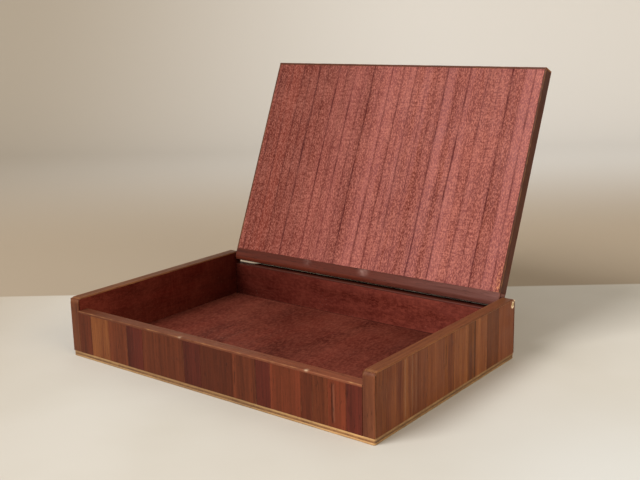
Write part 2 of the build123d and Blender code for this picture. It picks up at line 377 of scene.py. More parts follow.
class Bench:
    """Lays out and joins the nodes of one material or shared effect."""

    def __init__(self, tree: bpy.types.NodeTree) -> None:
        """Start on an empty tree."""
        self.tree = tree
        self.tree.nodes.clear()

    def add(self, kind: str, **settings: object) -> bpy.types.Node:
        """Add a node and set its properties by name.

        Args:
            kind: Blender's name for the node.
            settings: Its properties.

        Returns:
            The node.
        """
        node = self.tree.nodes.new(kind)
        for name, setting in settings.items():
            setattr(node, name, setting)
        return node

    def put(self, socket: bpy.types.NodeSocket, source: object) -> None:
        """Join a socket to an output, or set it to a fixed value."""
        if isinstance(source, bpy.types.NodeSocket):
            self.tree.links.new(source, socket)
        else:
            socket.default_value = source

    def maths(self, operation: str, a: object, b: object = 0.0, clamp: bool = False) -> bpy.types.NodeSocket:
        """One sum of two values.

        Args:
            operation: What is done with them.
            a: First value or socket.
            b: Second value or socket.
            clamp: Whether the result is held between 0 and 1.

        Returns:
            The result.
        """
        node = self.add("ShaderNodeMath", operation=operation, use_clamp=clamp)
        self.put(node.inputs[0], a)
        self.put(node.inputs[1], b)
        return node.outputs[0]

    def times(self, a: object, b: object) -> bpy.types.NodeSocket:
        """Product of two values."""
        return self.maths("MULTIPLY", a, b)

    def weigh(self, a: object, b: object, share: float) -> bpy.types.NodeSocket:
        """Sum of two values, the first weighted by the share and the second by what is left."""
        return self.maths("ADD", self.times(a, share), self.times(b, 1.0 - share))

    def vector(self, operation: str, a: object, b: object) -> bpy.types.NodeSocket:
        """One sum of two vectors.

        Args:
            operation: What is done with them.
            a: First vector or socket.
            b: Second vector or socket.

        Returns:
            The result.
        """
        node = self.add("ShaderNodeVectorMath", operation=operation)
        self.put(node.inputs[0], a)
        self.put(node.inputs[1], b)
        return node.outputs[0]

    def spread(self, value: object, low: object, high: object, to_low: object = 0.0,
               to_high: object = 1.0, smooth: bool = False) -> bpy.types.NodeSocket:
        """Stretch a value from one range to another, held at the ends.

        Args:
            value: The value.
            low: Where its range starts.
            high: Where it ends.
            to_low: What the start becomes.
            to_high: What the end becomes.
            smooth: Whether it eases in and out.

        Returns:
            The stretched value.
        """
        node = self.add("ShaderNodeMapRange", clamp=True,
                        interpolation_type="SMOOTHSTEP" if smooth else "LINEAR")
        for place, source in zip(("Value", "From Min", "From Max", "To Min", "To Max"),
                                 (value, low, high, to_low, to_high)):
            self.put(node.inputs[place], source)
        return node.outputs["Result"]

    def blend(self, share: object, a: object, b: object) -> bpy.types.NodeSocket:
        """Blend colour b over colour a by a share.

        Args:
            share: How much of b shows.
            a: The colour below.
            b: The colour above.

        Returns:
            The blended colour.
        """
        node = self.add("ShaderNodeMix", data_type="RGBA", blend_type="MIX", clamp_factor=True)
        self.put(node.inputs[0], share)
        self.put(node.inputs[6], a)
        self.put(node.inputs[7], b)
        return node.outputs[2]

    def noise(self, vector: object, scale: object, detail: float = 2.0, rough: float = 0.5,
              twist: float = 0.0) -> bpy.types.NodeSocket:
        """Soft random values from 0 to 1 over space.

        Args:
            vector: Where.
            scale: Lumps to the metre, if the vector is in metres.
            detail: How many finer layers are added.
            rough: How strong the finer layers are.
            twist: How far the lumps are pulled about.

        Returns:
            The value.
        """
        node = self.add("ShaderNodeTexNoise", noise_dimensions="3D")
        self.put(node.inputs["Vector"], vector)
        self.put(node.inputs["Scale"], scale)
        self.put(node.inputs["Detail"], detail)
        self.put(node.inputs["Roughness"], rough)
        self.put(node.inputs["Distortion"], twist)
        return node.outputs["Fac"]

    def attribute(self, name: str, vector: bool = False) -> bpy.types.NodeSocket:
        """A value carried by the piece's own points."""
        node = self.add("ShaderNodeAttribute", attribute_name=name, attribute_type="GEOMETRY")
        return node.outputs["Vector" if vector else "Fac"]

    def group(self, tree: bpy.types.NodeTree, **inputs: object) -> bpy.types.Node:
        """Place a shared effect with its own values; a name's underscores stand for spaces.

        Args:
            tree: The effect.
            inputs: A value or socket for each of its inputs.

        Returns:
            The effect's node.
        """
        node = self.add("ShaderNodeGroup", node_tree=tree)
        for name, source in inputs.items():
            self.put(node.inputs[name.replace("_", " ")], source)
        return node


class Effects:
    """The shader effects that several finishes share, each built once."""

    def __init__(self) -> None:
        """Build every effect."""
        self.figure = self.build_figure()
        self.scuff = self.build_scuff()
        self.fleck = self.build_fleck()
        self.cloud = self.build_cloud()
        self.handling = self.build_handling()

    @staticmethod
    def open_group(name: str, inputs: dict[str, str], outputs: tuple[str, ...]
                   ) -> tuple[Bench, dict[str, bpy.types.NodeSocket], bpy.types.Node]:
        """Start a node group with named sockets.

        Args:
            name: The effect's name.
            inputs: Socket kind of each named input.
            outputs: Names of the value outputs.

        Returns:
            The bench, the inputs by name, and the node that takes the outputs.
        """
        tree = bpy.data.node_groups.new(name, "ShaderNodeTree")
        for label, kind in inputs.items():
            tree.interface.new_socket(name=label, in_out="INPUT", socket_type=f"NodeSocket{kind}")
        for label in outputs:
            tree.interface.new_socket(name=label, in_out="OUTPUT", socket_type="NodeSocketFloat")
        bench = Bench(tree)
        entry, leave = bench.add("NodeGroupInput"), bench.add("NodeGroupOutput")
        return bench, {label: entry.outputs[label] for label in inputs}, leave

    def build_figure(self) -> bpy.types.NodeTree:
        """Wood figure: soft bands, fine streaks and short open pores, all drawn out along the grain.

        Returns:
            The node group.
        """
        bench, given, leave = self.open_group(
            "Wood figure",
            {"Vector": "Vector", "Streaks per metre": "Float", "Stretch": "Float", "Warp": "Float"},
            ("Bands", "Streaks", "Hairs", "Pores"))
        slow = bench.noise(given["Vector"], 40.0, 1.0)
        sway = bench.times(bench.maths("SUBTRACT", slow, 0.5), given["Warp"])
        push = bench.add("ShaderNodeCombineXYZ")
        bench.put(push.inputs[0], sway)
        bench.put(push.inputs[1], sway)
        bent = bench.vector("ADD", given["Vector"], push.outputs[0])
        along = bench.maths("DIVIDE", given["Streaks per metre"], given["Stretch"])
        squeeze = bench.add("ShaderNodeCombineXYZ")
        for place, source in enumerate((given["Streaks per metre"], given["Streaks per metre"], along)):
            bench.put(squeeze.inputs[place], source)
        drawn = bench.vector("MULTIPLY", bent, squeeze.outputs[0])
        bench.put(leave.inputs["Bands"], bench.noise(drawn, 0.22, 1.5, 0.5))
        bench.put(leave.inputs["Streaks"], bench.noise(drawn, 1.0, 4.0, 0.62))
        bench.put(leave.inputs["Hairs"], bench.noise(drawn, 3.4, 2.0, 0.6))
        dots = bench.noise(bench.vector("MULTIPLY", drawn, (1.0, 1.0, 3.0)), 2.6, 1.0, 0.5)
        bench.put(leave.inputs["Pores"], bench.spread(dots, 0.63, 0.74))
        return bench.tree

    def build_scuff(self) -> bpy.types.NodeTree:
        """Edge wear: the arris's own wear value broken up by two sizes of noise.

        Returns:
            The node group.
        """
        bench, given, leave = self.open_group(
            "Edge wear", {"Vector": "Vector", "Wear": "Float", "Reach": "Float"}, ("Rubbed", "Bare"))
        coarse = bench.noise(given["Vector"], 260.0, 3.0, 0.6)
        fine = bench.noise(given["Vector"], 1900.0, 2.0, 0.6)
        patch = bench.weigh(coarse, fine, 0.65)
        level = bench.times(given["Wear"], bench.maths("ADD", patch, given["Reach"]))
        bench.put(leave.inputs["Rubbed"], bench.spread(level, 0.18, 0.75))
        bench.put(leave.inputs["Bare"], bench.spread(level, 0.62, 0.8))
        return bench.tree

    def build_fleck(self) -> bpy.types.NodeTree:
        """Ray fleck: short light dashes along the grain, and faint cross marks left by the scraper.

        Returns:
            The node group.
        """
        bench, given, leave = self.open_group(
            "Ray fleck", {"Vector": "Vector", "Flecks per metre": "Float"}, ("Flecks", "Chatter"))
        sizing = bench.add("ShaderNodeVectorMath", operation="SCALE")
        bench.put(sizing.inputs["Vector"], given["Vector"])
        bench.put(sizing.inputs["Scale"], given["Flecks per metre"])
        sized = sizing.outputs["Vector"]
        dashes = bench.noise(bench.vector("MULTIPLY", sized, (1.0, 1.0, 0.5)), 1.0, 3.0, 0.72, 0.2)
        bench.put(leave.inputs["Flecks"], bench.spread(dashes, 0.45, 0.605))
        lines = bench.noise(bench.vector("MULTIPLY", sized, (0.1, 0.1, 1.1)), 1.0, 2.0, 0.6)
        where = bench.noise(given["Vector"], 38.0, 2.0)
        ticks = bench.times(bench.spread(lines, 0.45, 0.65), bench.spread(where, 0.45, 0.62))
        bench.put(leave.inputs["Chatter"], ticks)
        return bench.tree

    def build_cloud(self) -> bpy.types.NodeTree:
        """Cloudy stain: broad soft patches, smaller blots, and scattered specks of dust.

        Returns:
            The node group.
        """
        bench, given, leave = self.open_group(
            "Cloudy stain", {"Vector": "Vector"}, ("Clouds", "Blots", "Specks"))
        broad = bench.noise(given["Vector"], 52.0, 4.0, 0.68, 0.3)
        small = bench.noise(given["Vector"], 150.0, 3.0, 0.6)
        bench.put(leave.inputs["Clouds"], bench.spread(broad, 0.34, 0.66))
        bench.put(leave.inputs["Blots"], bench.spread(small, 0.45, 0.72))
        grit = bench.add("ShaderNodeTexVoronoi", feature="F1")
        bench.put(grit.inputs["Vector"], given["Vector"])
        bench.put(grit.inputs["Scale"], 420.0)
        near = bench.spread(grit.outputs["Distance"], 0.16, 0.05)
        rare = bench.spread(bench.noise(given["Vector"], 60.0, 2.0), 0.56, 0.7)
        bench.put(leave.inputs["Specks"], bench.times(near, rare))
        return bench.tree

    def build_handling(self) -> bpy.types.NodeTree:
        """Handling: where years of hands have polished or dulled the varnish.

        Returns:
            The node group.
        """
        bench, given, leave = self.open_group(
            "Handling", {"Vector": "Vector", "Dull": "Float", "Shiny": "Float"}, ("Roughness",))
        smear = bench.noise(given["Vector"], 75.0, 4.0, 0.55, 0.6)
        bench.put(leave.inputs["Roughness"], bench.spread(smear, 0.32, 0.7, given["Shiny"], given["Dull"]))
        return bench.tree


OPEN_PORE = shade(38, 18, 12)
OPEN_CRACK = shade(24, 10, 8)
DUST = shade(206, 170, 150)
RUBBED_CORNER = shade(230, 160, 100)


@dataclass(frozen=True)
class Finish:
    """What every finish shares: its name, the start of its material, its tone and its relief."""

    name: str

    def open(self) -> tuple[Bench, bpy.types.Material, bpy.types.Node]:
        """Start a material with its shader joined to the output.

        Returns:
            The bench it is laid out on, the material, and its shader.
        """
        material = bpy.data.materials.new(self.name)
        material.use_nodes = True
        bench = Bench(material.node_tree)
        shader, out = bench.add("ShaderNodeBsdfPrincipled"), bench.add("ShaderNodeOutputMaterial")
        bench.put(out.inputs["Surface"], shader.outputs["BSDF"])
        return bench, material, shader

    @staticmethod
    def toned(bench: Bench, colour: object) -> bpy.types.NodeSocket:
        """Lighten or darken a colour by the piece's own 'light' value, which holds the piece's own tone and,
        on many pieces, painted light and shade.

        Args:
            bench: Where the material is laid out.
            colour: The colour.

        Returns:
            The toned colour.
        """
        lift = bench.add("ShaderNodeHueSaturation")
        bench.put(lift.inputs["Color"], colour)
        bench.put(lift.inputs["Value"], bench.maths("ADD", bench.attribute("light"), 1.0))
        return lift.outputs["Color"]

    @staticmethod
    def bump(bench: Bench, shader: bpy.types.Node, height: object, strength: float, depth: float) -> None:
        """Join a height in 0 to 1 to the shader as relief of the given depth in metres.

        Args:
            bench: Where the material is laid out.
            shader: The material's shader.
            height: The height.
            strength: How much of the relief shows.
            depth: Its depth, in metres.
        """
        relief = bench.add("ShaderNodeBump")
        bench.put(relief.inputs["Height"], height)
        relief.inputs["Strength"].default_value = strength
        relief.inputs["Distance"].default_value = depth
        bench.put(shader.inputs["Normal"], relief.outputs["Normal"])


@dataclass(frozen=True)
class VeneerFinish(Finish):
    """Varnished veneer: two tones of one wood, streaks, pores, rubbed arrises and dark cracks."""

    deep: Colour
    clear: Colour
    golden: Colour          # what a strip leans to when its 'ruddy' value is below 0
    ruddy: Colour           # and when it is above 0
    bare: Colour = field(default_factory=lambda: shade(176, 128, 92))
    raw: Colour = field(default_factory=lambda: shade(232, 206, 174))    # freshly broken wood
    streaks: float = 900.0
    stretch: float = 26.0
    shiny: float = 0.34
    dull: float = 0.52
    worn: float = 0.15

    def build(self, effects: Effects) -> bpy.types.Material:
        """Lay out the veneer's nodes.

        Args:
            effects: The shared effects.

        Returns:
            The material.
        """
        bench, material, shader = self.open()
        grain = bench.attribute("grain", vector=True)
        figure = bench.group(effects.figure, Vector=grain, Streaks_per_metre=self.streaks,
                             Stretch=self.stretch, Warp=0.9 * MM).outputs
        tint = bench.attribute("ruddy")
        warm = bench.blend(bench.spread(tint, 0.0, 1.0), self.clear, self.ruddy)
        warm = bench.blend(bench.spread(tint, 0.0, -1.0), warm, self.golden)
        lines = bench.weigh(figure["Bands"], figure["Streaks"], 0.45)
        colour = bench.blend(bench.spread(lines, 0.31, 0.64), self.deep, warm)
        colour = bench.blend(bench.spread(figure["Hairs"], 0.56, 0.7, 0.0, 0.3), colour, self.deep)
        colour = bench.blend(bench.times(figure["Pores"], 0.5), colour, OPEN_PORE)
        colour = self.toned(bench, colour)
        scuff = bench.group(effects.scuff, Vector=grain, Wear=bench.attribute("wear"),
                            Reach=self.worn).outputs
        colour = bench.blend(bench.times(scuff["Rubbed"], 0.45), colour, self.bare)
        colour = bench.blend(scuff["Bare"], colour, self.bare)
        colour = bench.blend(bench.attribute("crack"), colour, OPEN_CRACK)
        colour = bench.blend(bench.attribute("chip"), colour, self.raw)
        bench.put(shader.inputs["Base Color"], colour)
        gloss = bench.group(effects.handling, Vector=grain, Dull=self.dull, Shiny=self.shiny).outputs
        rough = bench.maths("ADD", gloss["Roughness"], bench.times(scuff["Rubbed"], 0.2), clamp=True)
        bench.put(shader.inputs["Roughness"], rough)
        shader.inputs["Specular IOR Level"].default_value = 0.1
        shader.inputs["Coat Weight"].default_value = 0.02
        shader.inputs["Coat Roughness"].default_value = 0.3
        raised, sunk = bench.times(figure["Streaks"], 0.6), bench.times(figure["Pores"], 0.5)
        height = bench.maths("SUBTRACT", raised, sunk)
        self.bump(bench, shader, height, 0.35, 0.12 * MM)
        return material


@dataclass(frozen=True)
class StainFinish(Finish):
    """Red-stained inner veneer: streak lines, ray fleck, cloudy wear, and a matt old surface."""

    deep: Colour
    clear: Colour
    pale: Colour
    line: Colour
    rose: Colour            # what the clear tone leans to where the 'ruddy' value is above 0
    streaks: float = 420.0
    stretch: float = 30.0
    flecks: float = 1500.0
    fleck_share: float = 0.5
    quiet: float = 1.0      # part of the fleck that is left where the 'ruddy' value is 0
    cloud_share: float = 0.3
    chatter_share: float = 0.2
    dull: float = 0.72
    shiny: float = 0.5
    sheen: float = 0.1

    def build(self, effects: Effects) -> bpy.types.Material:
        """Lay out the stained wood's nodes.

        Args:
            effects: The shared effects.

        Returns:
            The material.
        """
        bench, material, shader = self.open()
        grain = bench.attribute("grain", vector=True)
        figure = bench.group(effects.figure, Vector=grain, Streaks_per_metre=self.streaks,
                             Stretch=self.stretch, Warp=2 * MM).outputs
        stain = bench.group(effects.cloud, Vector=grain).outputs
        fleck = bench.group(effects.fleck, Vector=grain, Flecks_per_metre=self.flecks).outputs
        tint, streak = bench.attribute("ruddy"), bench.attribute("streak")
        lines = bench.weigh(figure["Bands"], figure["Streaks"], 0.6)
        clear = bench.blend(bench.spread(tint, 0.0, 1.0), self.clear, self.rose)
        colour = bench.blend(bench.spread(lines, 0.34, 0.64), self.deep, clear)
        clouded = bench.spread(tint, 0.0, 1.0, 0.4 * self.cloud_share, 1.1 * self.cloud_share)
        colour = bench.blend(bench.times(stain["Clouds"], clouded), colour, self.pale)
        colour = bench.blend(bench.times(stain["Blots"], self.cloud_share * 0.6), colour, self.deep)
        flecked = bench.spread(tint, 0.0, 1.0, self.quiet * self.fleck_share, self.fleck_share)
        colour = bench.blend(bench.times(fleck["Flecks"], flecked), colour, self.pale)
        colour = bench.blend(bench.times(fleck["Chatter"], self.chatter_share), colour, self.pale)
        broken = bench.spread(figure["Hairs"], 0.3, 0.6, 0.55, 1.0)
        colour = bench.blend(bench.times(streak, broken), colour, self.line)
        colour = bench.blend(bench.times(stain["Specks"], 0.16), colour, DUST)
        scuff = bench.group(effects.scuff, Vector=grain, Wear=bench.attribute("wear"), Reach=0.1).outputs
        colour = bench.blend(bench.times(scuff["Rubbed"], 0.4), colour, self.pale)
        bare = bench.times(bench.attribute("bare"), bench.spread(fleck["Flecks"], 0.3, 0.9))
        colour = bench.blend(bare, colour, RUBBED_CORNER)
        bench.put(shader.inputs["Base Color"], self.toned(bench, colour))
        gloss = bench.group(effects.handling, Vector=grain, Dull=self.dull, Shiny=self.shiny)
        bench.put(shader.inputs["Roughness"], gloss.outputs["Roughness"])
        shader.inputs["Specular IOR Level"].default_value = self.sheen
        height = bench.maths("SUBTRACT", bench.times(fleck["Flecks"], 0.5), bench.times(streak, 0.5))
        self.bump(bench, shader, height, 0.4, 0.12 * MM)
        return material


@dataclass(frozen=True)
class PlyFinish(Finish):
    """Cut edge of plywood: pale long fibres, darker end grain, grime in its pores and in cloudy patches."""

    deep: Colour
    clear: Colour
    grime: Colour
    streaks: float = 1100.0
    stretch: float = 18.0
    soiled: float = 0.5

    def build(self, effects: Effects) -> bpy.types.Material:
        """Lay out the plywood's nodes.

        Args:
            effects: The shared effects.

        Returns:
            The material.
        """
        bench, material, shader = self.open()
        grain = bench.attribute("grain", vector=True)
        figure = bench.group(effects.figure, Vector=grain, Streaks_per_metre=self.streaks,
                             Stretch=self.stretch, Warp=1 * MM).outputs
        stain = bench.group(effects.cloud, Vector=grain).outputs
        lines = bench.weigh(figure["Bands"], figure["Streaks"], 0.4)
        colour = bench.blend(bench.spread(lines, 0.34, 0.6), self.deep, self.clear)
        colour = bench.blend(bench.times(figure["Pores"], 0.6), colour, self.grime)
        colour = bench.blend(bench.times(stain["Clouds"], self.soiled), colour, self.grime)
        scuff = bench.group(effects.scuff, Vector=grain, Wear=bench.attribute("wear"), Reach=0.25).outputs
        colour = bench.blend(bench.times(scuff["Rubbed"], 0.35), colour, self.clear)
        bench.put(shader.inputs["Base Color"], self.toned(bench, colour))
        gloss = bench.group(effects.handling, Vector=grain, Dull=0.75, Shiny=0.5)
        bench.put(shader.inputs["Roughness"], gloss.outputs["Roughness"])
        self.bump(bench, shader, figure["Streaks"], 0.4, 0.15 * MM)
        return material


@dataclass(frozen=True)
class CoreFinish(Finish):
    """Plain core wood of the hidden boards, on the object's own coordinates."""

    deep: Colour
    clear: Colour

    def build(self, effects: Effects) -> bpy.types.Material:
        """Lay out the core wood's nodes.

        Args:
            effects: The shared effects.

        Returns:
            The material.
        """
        bench, material, shader = self.open()
        place = bench.add("ShaderNodeTexCoord").outputs["Object"]
        turned = bench.add("ShaderNodeMapping", vector_type="POINT")
        bench.put(turned.inputs["Vector"], place)
        turned.inputs["Rotation"].default_value = (0.0, math.pi / 2, 0.0)
        figure = bench.group(effects.figure, Vector=turned.outputs["Vector"], Streaks_per_metre=600.0,
                             Stretch=20.0, Warp=3 * MM).outputs
        lines = bench.spread(bench.weigh(figure["Bands"], figure["Streaks"], 0.5), 0.35, 0.62)
        bench.put(shader.inputs["Base Color"], bench.blend(lines, self.deep, self.clear))
        bench.put(shader.inputs["Roughness"], bench.spread(figure["Streaks"], 0.2, 0.8, 0.6, 0.8))
        self.bump(bench, shader, figure["Streaks"], 0.3, 0.15 * MM)
        return material


@dataclass(frozen=True)
class PinFinish(Finish):
    """Old brass of the hinge pins: drawn lines round the pin and brown tarnish."""

    bright: Colour
    tarnish: Colour

    def build(self, effects: Effects) -> bpy.types.Material:
        """Lay out the brass's nodes.

        Args:
            effects: The shared effects.

        Returns:
            The material.
        """
        bench, material, shader = self.open()
        place = bench.add("ShaderNodeTexCoord").outputs["Object"]
        drawn = bench.noise(bench.vector("MULTIPLY", place, (400.0, 6000.0, 6000.0)), 1.0, 3.0, 0.6)
        stain = bench.group(effects.cloud, Vector=bench.vector("MULTIPLY", place, (9.0, 9.0, 9.0)))
        share = bench.times(stain.outputs["Clouds"], bench.spread(drawn, 0.2, 0.7, 0.5, 1.0))
        bench.put(shader.inputs["Base Color"], bench.blend(share, self.bright, self.tarnish))
        bench.put(shader.inputs["Roughness"], bench.spread(drawn, 0.3, 0.7, 0.28, 0.5))
        shader.inputs["Metallic"].default_value = 1.0
        self.bump(bench, shader, drawn, 0.2, 0.03 * MM)
        return material


class Wood(Enum):
    """The four woods that the veneer strips are cut from."""

    DARK = "dark"
    PLUM = "plum"
    BROWN = "brown"
    AMBER = "amber"


@dataclass
class Finishes:
    """All the finishes as materials, each built once."""

    effects: Effects = field(default_factory=Effects)
    made: dict[str, bpy.types.Material] = field(default_factory=dict)

    def material(self, finish: Finish) -> bpy.types.Material:
        """The material of a finish, built the first time it is asked for."""
        if finish.name not in self.made:
            self.made[finish.name] = finish.build(self.effects)
        return self.made[finish.name]


VENEERS = {
    Wood.DARK: VeneerFinish("veneer dark", shade(65, 30, 18), shade(96, 45, 27), shade(99, 57, 23),
                            shade(99, 41, 27)),
    Wood.PLUM: VeneerFinish("veneer plum", shade(61, 25, 18), shade(92, 39, 28), shade(97, 54, 26),
                            shade(99, 36, 29)),
    Wood.BROWN: VeneerFinish("veneer brown", shade(73, 34, 20), shade(107, 53, 31), shade(108, 62, 34),
                             shade(112, 51, 34)),
    Wood.AMBER: VeneerFinish("veneer amber", shade(88, 42, 24), shade(122, 61, 36), shade(134, 81, 44),
                             shade(129, 56, 37), streaks=1100.0),
}
EDGING_WOOD = VeneerFinish("edging wood", shade(81, 43, 29), shade(111, 62, 42), shade(117, 72, 43),
                           shade(104, 44, 35), bare=shade(178, 128, 84), worn=0.3)
# the strip wood's fourth colour, a greyish pink, is painted sheen, laid on the hinge strip's right end
STRIP_WOOD = VeneerFinish("strip wood", shade(70, 29, 19), shade(101, 44, 30), shade(104, 46, 28),
                          shade(104, 68, 62), bare=shade(158, 104, 84), raw=shade(205, 168, 158),
                          streaks=700.0)
# the lid's rose tone, shade(156, 91, 90), is painted light: the lighter, pinker colour of its inner face
# toward the right
LID_STAIN = StainFinish("lid red stain", shade(107, 37, 24), shade(143, 60, 45), shade(228, 142, 124),
                        shade(78, 10, 15), shade(156, 91, 90), fleck_share=0.58, cloud_share=0.08,
                        chatter_share=0.32)
TRAY_STAIN = StainFinish("tray red stain", shade(63, 12, 6), shade(94, 22, 12), shade(144, 70, 56),
                         shade(40, 8, 5), shade(109, 54, 47), sheen=0.03, stretch=14.0, flecks=800.0,
                         fleck_share=0.46, quiet=0.2, cloud_share=0.46, chatter_share=0.12, dull=0.66,
                         shiny=0.42)
FLOOR_STAIN = StainFinish("tray floor stain", shade(68, 21, 14), shade(97, 36, 26), shade(142, 76, 60),
                          shade(44, 12, 9), shade(101, 41, 31), streaks=340.0, stretch=9.0, flecks=800.0,
                          fleck_share=0.46, quiet=0.8, cloud_share=0.38, chatter_share=0.12, dull=0.66,
                          shiny=0.42)
PALE_PLY = PlyFinish("pale ply", shade(150, 108, 64), shade(196, 154, 100), shade(104, 66, 36))
PLY_CORE = PlyFinish("ply core", shade(112, 72, 38), shade(152, 108, 62), shade(76, 44, 24), stretch=3.0)
CORE_WOOD = CoreFinish("core wood", shade(168, 128, 86), shade(206, 170, 124))
PIN_BRASS = PinFinish("pin brass", shade(226, 200, 150), shade(120, 84, 50))


@dataclass(frozen=True)
class Groove:
    """A crack or a scratch along the grain of a veneered face, in millimetres."""

    place: float           # across the strips
    begin: float           # along the grain
    finish: float
    half_width: float
    strength: float        # from 0 to 1


@dataclass
class Face:
    """One veneered face: strips of four woods laid side by side, one piece for each wood."""

    name: str
    body: str
    across: int                    # axis that the strips are counted along
    run: int                       # axis of their grain
    outer: int                     # which flat of the section is seen
    seed: int
    light: tuple[float, ...]       # how much lighter each strip is, in order along the axis
    ruddy: tuple[float, ...]       # how red it leans
    placement: Placement
    pitch: float = 0.5 * MM
    cracks: tuple[Groove, ...] = ()            # dark and deep
    scratches: tuple[Groove, ...] = ()         # pale and shallow
    pin: tuple[float, float] | None = None     # place across and along of the hinge pin
    pin_chip_and_glint: float = 2.0 * MM                 # reach of the broken veneer round the pin, painted pale also as the pin head's highlight
    pin_hole: float = 1.15 * MM
    crack_depth: float = 0.12 * MM
    scratch_depth: float = 0.03 * MM
    unevenness: float = 0.02 * MM              # how far the face is planed unevenly

    def local_points(self, node: str) -> np.ndarray:
        """Points of a CAD node in this face's own axes.

        Args:
            node: The node's name.

        Returns:
            The points as rows.
        """
        mesh = frame["nodes"][node].data
        flat = np.empty(len(mesh.vertices) * 3)
        mesh.vertices.foreach_get("co", flat)
        return (flat.reshape(-1, 3) - self.placement.origin) @ self.placement.axes.T

    def spans(self, node: str) -> tuple[np.ndarray, np.ndarray, np.ndarray]:
        """Read where a node's strips lie.

        Args:
            node: A CAD veneer node.

        Returns:
            Starts and ends of its strips along the face, and its box as two corners.
        """
        points = self.local_points(node)
        bored = np.zeros(len(points), bool)
        if self.pin:
            bored = np.abs(points[:, self.run] - self.pin[1]) < 1.2 * MM
        marks = np.unique(np.round(points[~bored, self.across], 6))
        return marks[0::2], marks[1::2], np.stack([points.min(0), points.max(0)])

    def lean(self, place: np.ndarray) -> np.ndarray:
        """How much a joint at this place leans, the same for both strips that meet there."""
        return 0.008 * drift(self.seed + 31, place, 0.4 * MM)

    @staticmethod
    def grooves(lines: tuple[Groove, ...], place: np.ndarray, along: np.ndarray, seed: int) -> np.ndarray:
        """Strength of the deepest of some grooves at each point: (1 - d^2 / w^2), fading at the ends.

        Args:
            lines: The grooves.
            place: Places across the grooves.
            along: Places along them.
            seed: Which drift they wander by.

        Returns:
            The strength at each point, from 0 to 1.
        """
        deepest = np.zeros_like(place)
        wander, fade = 0.15 * MM * drift(seed, along, 3 * MM), 1.5 * MM
        for line in lines:
            gap = place - line.place * MM - wander
            inside = np.clip(1 - (gap / (line.half_width * MM)) ** 2, 0, 1)
            entry = np.clip((along - line.begin * MM) / fade, 0, 1)
            ends = entry * np.clip((line.finish * MM - along) / fade, 0, 1)
            deepest = np.maximum(deepest, inside * ends * line.strength)
        return deepest

    def strip(self, start: float, end: float, box: np.ndarray, seed: int) -> Surface:
        """Make one strip: eased, slightly leaning, with fine cracks and the open pin hole.

        The sideways shift is the lean of its two joints, shared out in proportion, times the height
        above its middle. A crack is a groove (1 - d^2 / w^2) deep along the grain.

        Args:
            start: Where the strip starts along the face.
            end: Where it ends.
            box: Low and high corner of its veneer.
            seed: The strip's own seed.

        Returns:
            The strip's surface in the face's own axes.
        """
        low, high = box[0].copy(), box[1].copy()
        low[self.across], high[self.across] = start, end
        near_pin = self.pin is not None and start - MM < self.pin[0] < end + MM
        pitch = 0.25 * MM if near_pin else self.pitch
        board = Board(tuple(low), tuple(high), self.run, seed, easing=0.14 * MM, tip=0.12 * MM,
                      worn=0.07 * MM, fine=(self.outer,), fine_pitch=pitch,
                      stride=(0.3 if near_pin else 1.1) * MM, arc_steps=3)
        made = board.surface()
        place, along = made.points[..., self.across], made.points[..., self.run]
        crack = self.grooves(self.cracks, place, along, seed)
        chip = self.grooves(self.scratches, place, along, seed)
        uneven = 1 + drift_field(seed, place, along, (6 * MM, 14 * MM))
        depth = self.crack_depth * crack + self.scratch_depth * chip + self.unevenness * uneven
        # round the pin the veneer is broken and painted pale, which also stands in for the pin head's
        # highlight
        if near_pin:
            gap = np.hypot(place - self.pin[0], along - self.pin[1])
            turn = np.arctan2(along - self.pin[1], place - self.pin[0])
            ragged = self.pin_chip_and_glint + 0.5 * MM * drift(seed + 9, turn, 0.7)
            broken = np.clip((ragged - gap) / (0.35 * MM), 0, 1)
            chip = np.maximum(chip, broken)
            hole = np.clip((self.pin_hole - gap) / (0.15 * MM), 0, 1)
            depth = depth + 0.1 * MM * broken + 0.3 * MM * hole
        made.sink(depth)
        middle = 0.5 * (low[self.run] + high[self.run])
        share = (place - start) / (end - start)
        lean_here, lean_there = self.lean(np.array([start, end]))
        made.points[..., self.across] += (lean_here * (1 - share) + lean_there * share) * (along - middle)
        made.values.update({"crack": crack, "chip": chip})
        return made

    def build(self, finishes: Finishes) -> None:
        """Make the face's four pieces, one for each wood, each strip with its own tone.

        Args:
            finishes: The materials.
        """
        read = {wood: self.spans(f"{self.name}_veneer_{wood.value}") for wood in Wood}
        order = np.sort(np.concatenate([read[wood][0] for wood in Wood]))
        for wood, (starts, ends, box) in read.items():
            skin = Skin(self.placement)
            for start, end in zip(starts, ends):
                index = int(np.argmin(np.abs(order - start)))
                made = self.strip(float(start), float(end), box, self.seed * 100 + index)
                skin.add(made, light=self.light[index % len(self.light)],
                         ruddy=self.ruddy[index % len(self.ruddy)])
            node = f"{self.name}_veneer_{wood.value}"
            finish_piece(f"{self.name}_strips_{wood.value}", skin, finishes.material(VENEERS[wood]),
                         self.body, (node,))


BOX_AXES = Placement(np.zeros(3), np.eye(3))


def corners_of(node: str) -> tuple[Vec3, Vec3]:
    """Low and high corner of a CAD node in the shared frame, as plain tuples."""
    low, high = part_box(node)
    return (low.x, low.y, low.z), (high.x, high.y, high.z)


def marks_for(surface: Surface, light: float = 0.0, ruddy: float = 0.0) -> Surface:
    """Fill in the values that a veneer finish reads where a piece hasn't set them.

    Args:
        surface: The piece's surface.
        light: How light it is.
        ruddy: How red it leans.

    Returns:
        The same surface.
    """
    blank = np.zeros(surface.points.shape[:2])
    for name in ("crack", "chip", "streak", "bare"):
        surface.values.setdefault(name, blank)
    surface.values.setdefault("light", blank + light)
    surface.values.setdefault("ruddy", blank + ruddy)
    return surface


